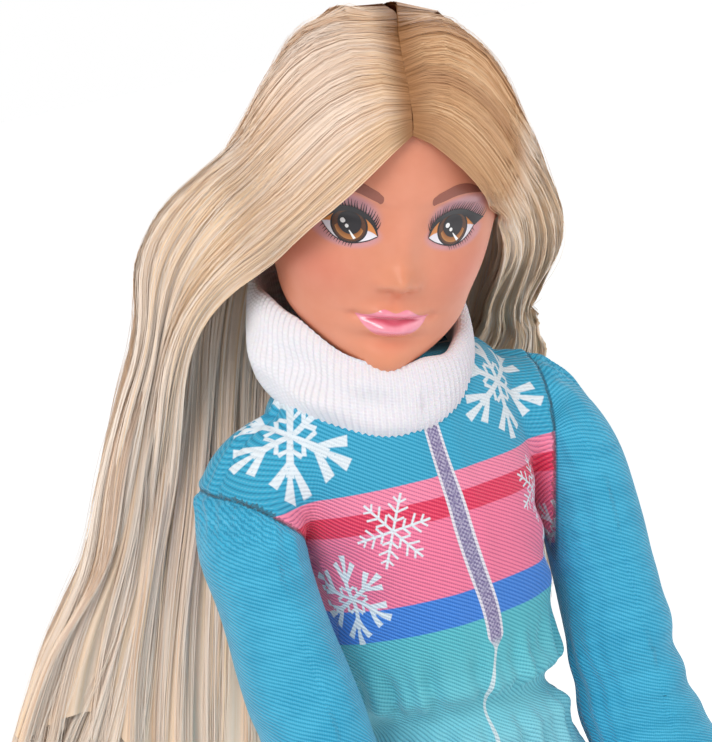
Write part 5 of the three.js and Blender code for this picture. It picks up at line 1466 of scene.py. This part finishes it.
def skull_place(azimuth, height, lift):
    """A point over the skull, by degrees round from the face towards the doll's left, and degrees up."""
    a, e = math.radians(azimuth), math.radians(height)
    way = np.array([math.sin(a) * math.cos(e), -math.cos(a) * math.cos(e), math.sin(e)])
    return from_head((way * (SKULL_RADII + lift) + SKULL_MIDDLE)[None])[0]


def guide_line(rows, samples=72):
    """Points evenly spaced along the curve through one guide's rows."""
    read = {"h": on_skull, "v": at_depth, "s": skull_place, "m": lambda *place: np.array(place, float)}
    line = outside_head(spline([read[kind](*values) for kind, *values in rows], 400), 0.9)
    length = lengths_along(line)
    share = np.linspace(0, 1, samples) * length[-1]
    return np.column_stack([np.interp(share, length, line[:, k]) for k in range(3)])


RIGHT_GUIDES = [
    [("h", 411, 133, 0.9), ("h", 396, 150, 1.5), ("h", 377, 168, 1.9), ("h", 358, 187, 2.2), ("h", 338, 205, 2.6),
     ("h", 317, 222, 3.0), ("h", 297, 240, 3.5), ("v", 276, 258, -9), ("v", 250, 279, -5), ("v", 222, 303, 0),
     ("v", 200, 333, 5.5), ("v", 186, 372, 10.5), ("v", 178, 422, 14.5), ("v", 172, 482, 17.5), ("v", 166, 552, 20),
     ("v", 160, 622, 22), ("v", 152, 692, 23), ("v", 142, 762, 23.5), ("v", 134, 850, 24), ("v", 128, 940, 24)],
    [("h", 411, 118, 1.2), ("h", 386, 128, 2.4), ("h", 358, 148, 3.0), ("h", 330, 173, 3.2), ("h", 300, 202, 3.8),
     ("h", 268, 230, 4.6), ("v", 238, 258, -4), ("v", 208, 288, 1), ("v", 186, 322, 6), ("v", 170, 365, 10.5),
     ("v", 160, 415, 14), ("v", 152, 475, 17), ("v", 144, 545, 20.5), ("v", 132, 615, 22), ("v", 118, 680, 23),
     ("v", 100, 750, 24), ("v", 84, 840, 24.5), ("v", 76, 930, 24.5)],
    [("h", 409, 100, 1.2), ("h", 378, 105, 2.8), ("h", 342, 124, 3.4), ("h", 308, 156, 3.6), ("h", 274, 190, 4.4),
     ("v", 242, 221, -3), ("v", 212, 252, 1), ("v", 188, 288, 5.5), ("v", 172, 328, 9.5), ("v", 160, 375, 13),
     ("v", 148, 430, 15.5), ("v", 138, 495, 18), ("v", 128, 565, 20.5), ("v", 112, 635, 23), ("v", 88, 695, 24),
     ("v", 64, 755, 24.5), ("v", 44, 840, 25), ("v", 34, 920, 25)],
    [("h", 406, 80, 1.3), ("h", 368, 80, 3.0), ("h", 328, 97, 3.6), ("h", 290, 130, 4.0), ("h", 256, 165, 5),
     ("v", 223, 195, 0), ("v", 195, 225, 3), ("v", 172, 262, 6), ("v", 161, 303, 9), ("v", 153, 350, 12),
     ("v", 140, 400, 14.5), ("v", 126, 465, 17), ("v", 115, 540, 20), ("v", 102, 605, 22), ("v", 84, 660, 23.8),
     ("v", 64, 710, 24.6), ("v", 48, 760, 24.8), ("v", 32, 840, 24.8)],
    [("h", 402, 58, 1.3), ("h", 357, 55, 3.2), ("h", 316, 75, 3.8), ("h", 280, 110, 4.4), ("h", 250, 147, 5.0),
     ("v", 214, 175, 1.5), ("v", 183, 205, 4), ("v", 160, 238, 6.5), ("v", 149, 275, 9), ("v", 147, 317, 11),
     ("v", 139, 360, 13.4), ("v", 122, 412, 15.8), ("v", 107, 480, 18.4), ("v", 96, 560, 21), ("v", 78, 615, 23.0),
     ("v", 60, 657, 24.4), ("v", 45, 697, 25.0), ("v", 30, 745, 25.3),
     ("v", 20, 800, 25.3), ("v", 14, 850, 25.2)],
    [("h", 398, 34, 1.9), ("h", 352, 33, 2.4), ("h", 306, 48, 4.0), ("h", 272, 82, 4.6), ("h", 248, 122, 5.2),
     ("v", 231, 151, 2.6), ("v", 203, 177, 5.0), ("v", 170, 208, 7.5), ("v", 150, 240, 9), ("v", 138, 272, 10.5),
     ("v", 138, 307, 12), ("v", 134, 347, 13.6), ("v", 119, 405, 16), ("v", 104, 473, 18.6), ("v", 90, 555, 21.6),
     ("v", 66, 606, 23.6), ("v", 46, 645, 24.8), ("v", 30, 690, 25.5),
     ("v", 14, 745, 25.8), ("v", 4, 800, 25.8), ("v", 0, 850, 25.6)],
    [("h", 397, 20, 2.0), ("s", -100, 70, 1.0), ("s", -101, 46, 1.1), ("s", -105, 20, 1.3), ("m", -12.8, 7.4, 266.5),
     ("m", -17.8, 12.2, 259.5), ("m", -21.6, 15.2, 251), ("m", -25, 17, 242), ("m", -28, 19.6, 232),
     ("m", -31, 22, 222), ("m", -35, 24, 212), ("m", -39, 25, 201), ("m", -42, 25, 192)],
    [("s", 180, 82, 1.6), ("s", -125, 68, 0.8), ("s", -128, 45, 0.9), ("s", -132, 20, 1.5), ("m", -9, 12, 268),
     ("m", -13, 15.2, 258), ("m", -16.5, 17.6, 248), ("m", -19, 19.4, 238), ("m", -22, 21.2, 226),
     ("m", -25.5, 22.8, 214), ("m", -29, 24, 201), ("m", -32, 24.6, 188), ("m", -34.5, 24.8, 176)],
    [("s", 180, 70, 1.2), ("s", -150, 58, 0.9), ("s", -152, 38, 0.9), ("s", -155, 15, 2.8), ("m", -1.5, 14.2, 265),
     ("m", -6, 17, 256), ("m", -9.5, 18.8, 247), ("m", -12, 20, 237), ("m", -14, 21, 226), ("m", -17, 22.3, 213),
     ("m", -20, 23.5, 200), ("m", -23, 24.2, 187), ("m", -26, 24.5, 174)],
    [("s", 172, 58, 0.9), ("s", 168, 40, 1.0), ("s", 166, 20, 2.0), ("m", 10.4, 13.0, 267), ("m", 8.6, 16.4, 259),
     ("m", 7, 18.4, 250), ("m", 5.2, 19.6, 240), ("m", 3.6, 20.2, 229), ("m", 2, 20.8, 216), ("m", 0, 21.8, 203),
     ("m", -2, 23, 190), ("m", -4, 23.6, 177), ("m", -5, 23.6, 164)],
]
LEFT_GUIDES = [
    [("h", 412, 133, 0.9), ("h", 430, 142, 1.5), ("h", 450, 157, 1.9), ("h", 470, 175, 2.2), ("h", 486, 196, 2.5),
     ("v", 498, 220, -9), ("v", 503, 244, -6), ("v", 497, 272, 0), ("v", 486, 302, 6), ("v", 479, 332, 10),
     ("m", 12.5, 13.5, 232), ("m", 12.5, 14.2, 222), ("m", 12.5, 14.6, 211), ("m", 12.5, 15, 201)],
    [("h", 412, 116, 1.2), ("h", 440, 123, 2.4), ("h", 466, 143, 3.0), ("h", 488, 170, 3.2), ("h", 505, 198, 3.4),
     ("v", 519, 226, -7), ("v", 522, 252, -3), ("v", 513, 280, 3), ("v", 502, 308, 8.5), ("v", 502, 335, 12.5),
     ("m", 16.5, 14.5, 230), ("m", 17, 15, 219), ("m", 17, 15.4, 208), ("m", 16.5, 15.6, 199)],
    [("h", 409, 98, 1.2), ("h", 441, 99, 2.8), ("h", 472, 116, 3.4), ("h", 498, 145, 3.6), ("h", 516, 176, 3.8),
     ("v", 532, 205, -8), ("v", 539, 235, -4), ("v", 532, 262, 1), ("v", 519, 290, 6.5), ("v", 515, 318, 11),
     ("v", 526, 346, 14), ("m", 21, 15.4, 226), ("m", 22, 15.8, 214), ("m", 21, 16, 202)],
    [("h", 406, 78, 1.3), ("h", 441, 74, 3.0), ("h", 474, 89, 3.6), ("h", 500, 116, 3.9), ("h", 518, 148, 4.2),
     ("v", 536, 180, -8), ("v", 549, 210, -5), ("v", 553, 236, -1.5), ("v", 546, 260, 3), ("v", 532, 286, 7.5),
     ("v", 525, 314, 11.5), ("v", 536, 343, 14.5), ("m", 24, 15.8, 225), ("m", 25, 16, 213), ("m", 24.5, 16.2, 203)],
    [("h", 402, 57, 1.3), ("h", 440, 49, 3.2), ("h", 473, 62, 3.8), ("h", 499, 90, 4.3), ("h", 518, 122, 4.6),
     ("v", 533, 152, -8), ("v", 546, 182, -5.5), ("v", 557, 210, -2), ("v", 558, 234, 1), ("v", 551, 260, 4.5),
     ("v", 534, 288, 8.5), ("v", 524, 316, 12), ("m", 23, 15, 232), ("m", 22.5, 15.8, 219), ("m", 21.5, 16.4, 206),
     ("m", 20.5, 17.6, 198)],
    [("h", 399, 34, 2.3), ("h", 440, 27, 3.0), ("h", 475, 44, 4.0), ("h", 500, 74, 4.4), ("h", 518, 108, 4.8),
     ("v", 531, 142, -6), ("v", 541, 172, -3.5), ("v", 551, 202, 0.5), ("v", 552, 230, 4), ("v", 543, 260, 8),
     ("v", 526, 292, 11.5), ("m", 20, 16.2, 238), ("m", 18.8, 17.2, 226), ("m", 18, 17.8, 212), ("m", 17, 18.2, 200)],
    [("h", 398, 20, 2.8), ("s", 100, 70, 2.2), ("s", 101, 46, 1.7), ("s", 104, 20, 2.1), ("m", 25.5, 2.5, 262),
     ("m", 27, 8.5, 253), ("m", 25, 13.5, 244), ("m", 20.5, 16.8, 235), ("m", 17.5, 18.6, 225), ("m", 15.5, 19.6, 213),
     ("m", 14.5, 20.2, 202), ("m", 13.5, 20.8, 192)],
    [("s", 180, 82, 2.8), ("s", 130, 68, 2.2), ("s", 132, 45, 1.9), ("s", 135, 20, 2.1), ("m", 20.8, 8, 264),
     ("m", 20.8, 12.8, 255), ("m", 18.8, 16.2, 246), ("m", 15.5, 18.6, 236), ("m", 13, 19.8, 225),
     ("m", 11.5, 20.6, 213), ("m", 10.5, 21.8, 200), ("m", 9.5, 23, 187), ("m", 9, 23.4, 176)],
    [("s", 180, 70, 1.2), ("s", 157, 58, 0.9), ("s", 157, 38, 0.9), ("s", 160, 15, 2.8), ("m", 13.8, 12.6, 263),
     ("m", 12.6, 16.4, 255), ("m", 10.8, 18.6, 246), ("m", 8.6, 19.8, 236), ("m", 7, 20.4, 225), ("m", 6, 21.3, 211),
     ("m", 4.5, 22.5, 197), ("m", 3.5, 23.4, 183), ("m", 3, 23.8, 170)],
    [("s", -172, 58, 0.9), ("s", -170, 40, 1.2), ("s", -170, 20, 2.3), ("m", 4.2, 14.4, 267), ("m", 1.6, 17.4, 259),
     ("m", -0.6, 19.4, 250), ("m", -2.6, 20.4, 240), ("m", -4.4, 21, 229), ("m", -6, 21.6, 216), ("m", -8, 22.6, 203),
     ("m", -10, 23.7, 190), ("m", -11.5, 24.2, 177), ("m", -12, 24.2, 164)],
]


class HairSheet:
    """The smooth surface through a row of guides, read at any s (across the guides) and t (down them)."""

    PER_GUIDE = 8

    def __init__(self, guides, way):
        self.lines = np.array([guide_line(rows) for rows in guides])
        self.count, self.samples, _ = self.lines.shape
        self.way = way
        self.top = self.count - 1
        # Normals on a fine grid, weighted by area and evened out, so that they hold where two guides nearly touch
        s = np.linspace(0, self.top, self.top * self.PER_GUIDE + 1)[:, None]
        t = np.linspace(0, 1, self.samples)[None, :]
        s, t = np.broadcast_arrays(s, t)
        ds = self.at(s + 0.05, t) - self.at(s - 0.05, t)
        dt = self.at(s, t + 0.01) - self.at(s, t - 0.01)
        normals = np.cross(dt, ds) * way
        for _ in range(5):
            for axis in (0, 1):
                edge = np.pad(normals, [(1, 1) if k == axis else (0, 0) for k in range(3)], mode="edge")
                low, high = (edge[:-2], edge[2:]) if axis == 0 else (edge[:, :-2], edge[:, 2:])
                normals = normals / 2 + (low + high) / 4
        self.normals = unit(normals)

    def at(self, s, t):
        s = np.clip(np.asarray(s, float), 0, self.top)
        t = np.clip(np.asarray(t, float), 0, 1) * (self.samples - 1)
        row = np.minimum(t.astype(int), self.samples - 2)
        part = (t - row)[..., None]
        k = np.minimum(s.astype(int), self.top - 1)
        f = (s - k)[..., None]

        def line(i):
            i = np.clip(i, 0, self.top)
            return self.lines[i, row] * (1 - part) + self.lines[i, row + 1] * part
        a, b, c, d = line(k - 1), line(k), line(k + 1), line(k + 2)
        return b + 0.5 * f * (c - a + f * (2 * a - 5 * b + 4 * c - d + f * (3 * (b - c) + d - a)))

    def out(self, s, t):
        """Unit normals away from the head."""
        s, t = np.broadcast_arrays(np.asarray(s, float), np.asarray(t, float))
        row = np.clip(s, 0, self.top) * self.PER_GUIDE
        column = np.clip(t, 0, 1) * (self.samples - 1)
        i = np.minimum(row.astype(int), len(self.normals) - 2)
        j = np.minimum(column.astype(int), self.samples - 2)
        f, g = (row - i)[..., None], (column - j)[..., None]
        n = self.normals
        return unit(mix(mix(n[i, j], n[i + 1, j], f), mix(n[i, j + 1], n[i + 1, j + 1], f), g))


def locks(s, t, phase):
    """Ridges, -1 to 1, that run down the hair and drift across it a little."""
    return np.sin(s * 9.0 + 1.6 * np.sin(t * 7.0 + s * 1.3) + phase)


def lay(sheet, s, t, lift, phase):
    """Points at (s, t), lifted, with the waves that all the hair there shares."""
    points = sheet.at(s, t)
    out = sheet.out(s, t)
    loose = smooth(t, 0.18, 0.55)
    fine = np.sin(s * 27.0 + 1.2 * np.sin(t * 9.0 + s * 2.1))
    relief = locks(s, t, phase) * mix(0.05, 0.62, loose) + fine * mix(0.03, 0.17, loose)
    wave = 0.9 * np.sin(t * 15 + s * 1.9 + phase) * loose
    height = relief + wave * 0.5 + lift
    # Where the hair folds over sharply, nothing is moved past the middle of the fold
    before, after = np.maximum(s - 0.3, 0), np.minimum(s + 0.3, sheet.top)
    apart = sheet.at(after, t) - sheet.at(before, t)
    turn = ((sheet.out(after, t) - sheet.out(before, t)) * apart).sum(-1) / np.maximum((apart**2).sum(-1), 1e-6)
    height = np.clip(height, -0.5 / np.maximum(turn, 1e-3), 0.5 / np.maximum(-turn, 1e-3))
    return points + out * height[..., None]


def hair_material():
    """Nylon doll fibre: smooth, pale gold, with a long stretched shine and a darker root, and with painted shade
    where it lies deep.
    """
    look = Look("hair_fibre", "#e6c59b", 0.38, Specular_IOR_Level=0.45, Anisotropic=0.55)
    add = look.add
    _, down, strand = look.uv("strand")
    tone, depth = (add("Attribute", out="Fac", attribute_name=name) for name in ("tone", "depth"))
    # Streaks as wide as a fibre, 1/15 mm, and broad ones of a millimetre, both long down the hair
    streak = add("TexNoise", add("VectorMath MULTIPLY", strand, (15.0, 0.05, 1)), 1.0, 4, 0.65)
    broad = add("TexNoise", add("VectorMath MULTIPLY", strand, (0.9, 0.02, 1)), 1.0, 2, 0.55)
    light = add("Math MULTIPLY_ADD", add("Math SUBTRACT", streak, 0.5), 0.7, tone)
    light = add("Math MULTIPLY_ADD", add("Math SUBTRACT", broad, 0.5), 0.55, light)
    shade = add("Mix", add("MapRange", light, 0.0, 0.5), "#dcae7e", "#fbdcb6")
    shade = add("Mix", add("MapRange", light, 0.45, 1.05), shade, "#fff0e2")
    shade = add("Mix", add("MapRange", light, 0.22, -0.2), shade, "#b98a64")
    shade = add("Mix", add("MapRange", down, 16.0, 46.0), add("Mix", 0.3, shade, "#dcac80"), shade)
    shade = add("Mix", add("MapRange", down, 4.0, 0.0), shade, "#a9764a")
    # Painted shade where the hair lies deep: in the hollows between locks and on strands under the others
    shade = add("Mix", add("Math MULTIPLY", depth, 0.2), shade, "#d0a077")
    look.set(Base_Color=shade, Roughness=add("Math MULTIPLY_ADD", streak, 0.2, 0.3))
    look.set(Tangent=add("Tangent", direction_type="UV_MAP", uv_map="strand"))
    look.set(Normal=add("Bump", streak, 0.05 * MM, 0.35))
    return look.material


hair_look = hair_material()
# Points down a strand, and how wide the hair between two guides counts in the fibre's pattern, in mm
STRAND_POINTS, STRAND_MM = 38, 6


def arc_length(sheet, s, t):
    """Millimetres down the hair at (s, t), near enough."""
    lengths = np.linalg.norm(np.diff(sheet.lines, axis=1), axis=2).sum(axis=1)
    return np.interp(s, np.arange(len(lengths)), lengths) * t


def shaded_side(sheet, s, t):
    """How much darker the hair is drawn: in patches by the parting, with painted shade over the doll's left, and
    paler on the right, with a painted highlight on its top.
    """
    roots = 0.34 * smooth(t, 0.075, 0.015) * (0.65 + 0.35 * np.sin(s * 2.3 + 0.8))
    if sheet.way > 0:
        # Painted shade over the doll's left crown
        return roots + (0.6 + 0.14 * np.sin(s * 2.9)) * smooth(t, 0.3, 0.12)
    # Painted highlight high on the doll's right crown, and paler lengths below it
    painted_highlight = 0.34 * swell(t - 0.08, 0.055) * smooth(s, 0.8, 2.0) * smooth(s, 6.6, 5.4)
    return roots - painted_highlight - 0.28 * smooth(t, 0.3, 0.5)


def hair_mesh(name, points, faces, uv, tone, depth):
    """A piece of hair, with how pale it is, from its tone and painted light and shade, and how deep it lies, for
    painted shade.
    """
    masks = {"tone": tone, "depth": depth}
    return mesh_object(name, points, [faces], uvs={"strand": uv}, masks=masks, material=hair_look)


def base_sheet(name, sheet, s_range, t_range, lift, steps, phase):
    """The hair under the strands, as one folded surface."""
    s = np.linspace(*s_range, steps[0])[None, :]
    t = np.linspace(*t_range, steps[1])[:, None]
    s, t = np.broadcast_arrays(s, t)
    points = outside_head(lay(sheet, s, t, lift, phase).reshape(-1, 3), 0.35)
    uv = np.column_stack([(s * STRAND_MM).ravel(), arc_length(sheet, s, t).ravel()])
    faces = grid_faces(steps[1], steps[0])
    if sheet.way < 0:
        faces = faces[:, ::-1]
    tone = 0.55 + 0.1 * waves(np.column_stack([s.ravel() * 4, t.ravel() * 3]), 3.0, 11)
    # Painted shade and highlight of the crown, from shaded_side
    tone = tone - shaded_side(sheet, s.ravel(), t.ravel())
    # Painted shade in the hollows between locks, down the lengths
    depth = (smooth(-locks(s, t, phase), -0.2, 1.0) * smooth(t, 0.1, 0.5)).ravel()
    return hair_mesh(name, points, faces, uv, tone, depth)


def sways(dice, count, low, high, t):
    """A sine down each strand, of its own pace and phase."""
    return np.sin(t * dice.uniform(low, high, count)[:, None] + dice.uniform(0, TAU, count)[:, None])


def strands(name, sheet, count, s_range, ends, width, lift, seed, phase, stray, t_start=(0.0, 0.0)):
    """Flat ribbons of hair. t_start and ends: ranges of t where they begin and stop. lift: range off the sheet.
    stray: how far they wander."""
    dice = np.random.default_rng(seed)
    segments = STRAND_POINTS
    s0 = dice.uniform(*s_range, count)
    stop = dice.uniform(*ends, count)
    begin = dice.uniform(*t_start, count)
    t = begin[:, None] + np.linspace(0, 1, segments)[None] * (stop - begin)[:, None]
    # Neighbours draw together into locks towards their ends
    lock_count = max(int((s_range[1] - s_range[0]) * 7), 1)
    centres = np.sort(dice.uniform(*s_range, lock_count))
    nearest = centres[np.abs(s0[:, None] - centres[None]).argmin(1)]
    s = s0[:, None] + (nearest - s0)[:, None] * (smooth(t, 0.2, 1.0) * 0.62)
    sway = dice.uniform(0.3, 1.0, count)[:, None] * stray
    s = s + sway * 0.12 * sways(dice, count, 4, 11, t) * smooth(t, 0.05, 0.4)
    height = dice.uniform(*lift, count)[:, None] * smooth(t, -0.02, 0.06)
    height += stray * dice.uniform(-0.5, 1.3, count)[:, None] * smooth(t, 0.3, 1.0) * sways(dice, count, 3, 8, t)
    points = lay(sheet, s, t, height, phase)
    out = sheet.out(s, t)
    across = unit(np.cross(unit(np.gradient(points, axis=1)), out))
    across = unit(across + out * dice.uniform(-0.35, 0.35, count)[:, None, None])
    share = np.linspace(0, 1, segments)
    wide = dice.uniform(*width, count)[:, None] * (1 - 0.75 * smooth(share, 0.55, 1))[None]
    wide = wide * mix(0.6, 1, smooth(share, 0, 0.08))[None]
    ribbon = np.stack([points - across * wide[..., None] / 2, points + across * wide[..., None] / 2], axis=2)
    base = np.arange(count)[:, None] * segments * 2 + np.arange(segments - 1)[None] * 2
    faces = np.stack([base, base + 1, base + 3, base + 2], axis=-1).reshape(-1, 4)
    u = np.stack([s * STRAND_MM, s * STRAND_MM + wide], axis=2).reshape(-1)
    uv = np.column_stack([u, np.repeat(arc_length(sheet, s, t).reshape(-1), 2)])
    # Each ribbon has two points at each step, which share its tone and depth
    t, s = (np.repeat(v.reshape(-1), 2) for v in (t, s))
    tone = np.repeat(np.clip(dice.normal(0.72, 0.16, count), 0.05, 1.15), segments * 2)
    # Painted shade and highlight of the crown, from shaded_side
    tone = 0.72 + (tone - 0.72) * mix(0.5, 1, smooth(t, 0.12, 0.35)) - shaded_side(sheet, s, t)
    # Painted shade on strands that lie low, under the others
    depth = np.repeat(smooth(-height, 0.4, 3.4).reshape(-1), 2) * 0.8
    return hair_mesh(name, outside_head(ribbon.reshape(-1, 3), 0.5), faces, uv, tone, depth)


right_hair = HairSheet(RIGHT_GUIDES, -1)
left_hair = HairSheet(LEFT_GUIDES, 1)

# Sheets: name, surface, range across, range down, lift, steps across and down, phase
HAIR_SHEETS = [
    ("right_hair_sheet", right_hair, (0, 9), (0.0, 0.89), -0.3, (420, 150), 0.4),
    ("left_hair_sheet", left_hair, (0, 9), (0.0, 0.9), -0.3, (380, 130), 1.9),
    ("right_hair_inside", right_hair, (0.4, 8.8), (0.2, 0.9), -2.0, (240, 90), 2.2),
    ("left_hair_inside", left_hair, (0.4, 8.8), (0.26, 0.88), -1.6, (200, 80), 0.7),
]
# Strands: name, surface, count, range across, ends, widths, lifts, seed, phase, stray, beginnings if not at the top
HAIR_STRANDS = [
    ("right_hair_under", right_hair, 1700, (0.3, 9.0), (0.88, 1.0), (0.12, 0.3), (-2.75, -2.1), 27, 2.2, 0.4,
     (0.16, 0.24)),
    ("left_hair_under", left_hair, 800, (0.3, 9.0), (0.88, 1.0), (0.12, 0.28), (-2.3, -1.7), 28, 0.7, 0.3,
     (0.2, 0.28)),
    ("right_hair_front", right_hair, 2300, (0.0, 5.2), (0.86, 1.0), (0.09, 0.22), (-0.2, 0.3), 21, 0.4, 0.3),
    ("right_hair_back", right_hair, 1700, (4.8, 9.0), (0.86, 1.0), (0.12, 0.28), (-0.2, 0.3), 22, 0.4, 0.3),
    ("left_hair_front", left_hair, 1900, (0.0, 4.4), (0.84, 1.0), (0.09, 0.2), (-0.2, 0.28), 23, 1.9, 0.26),
    ("left_hair_back", left_hair, 1500, (4.0, 9.0), (0.86, 1.0), (0.12, 0.26), (-0.2, 0.3), 24, 1.9, 0.26),
    ("right_hair_loose", right_hair, 300, (0.0, 7.0), (0.8, 1.0), (0.06, 0.11), (0.1, 0.8), 25, 0.4, 1.5),
    ("left_hair_loose", left_hair, 150, (0.0, 6.0), (0.5, 1.0), (0.06, 0.1), (0.1, 0.7), 26, 1.9, 1.3),
]


def hang_hair():
    """Sheets and strands of hair; the first two sheets dress the CAD hair."""
    dresses = {
        "right_hair_sheet": ("hair_crown_right", "hair_right_lengths", "hair_back_lengths"),
        "left_hair_sheet": ("hair_crown_left", "hair_left_lengths"),
    }
    for piece in [base_sheet(*row) for row in HAIR_SHEETS] + [strands(*row) for row in HAIR_STRANDS]:
        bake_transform(piece)
        if piece.name in dresses:
            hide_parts(*dresses[piece.name])


hang_hair()
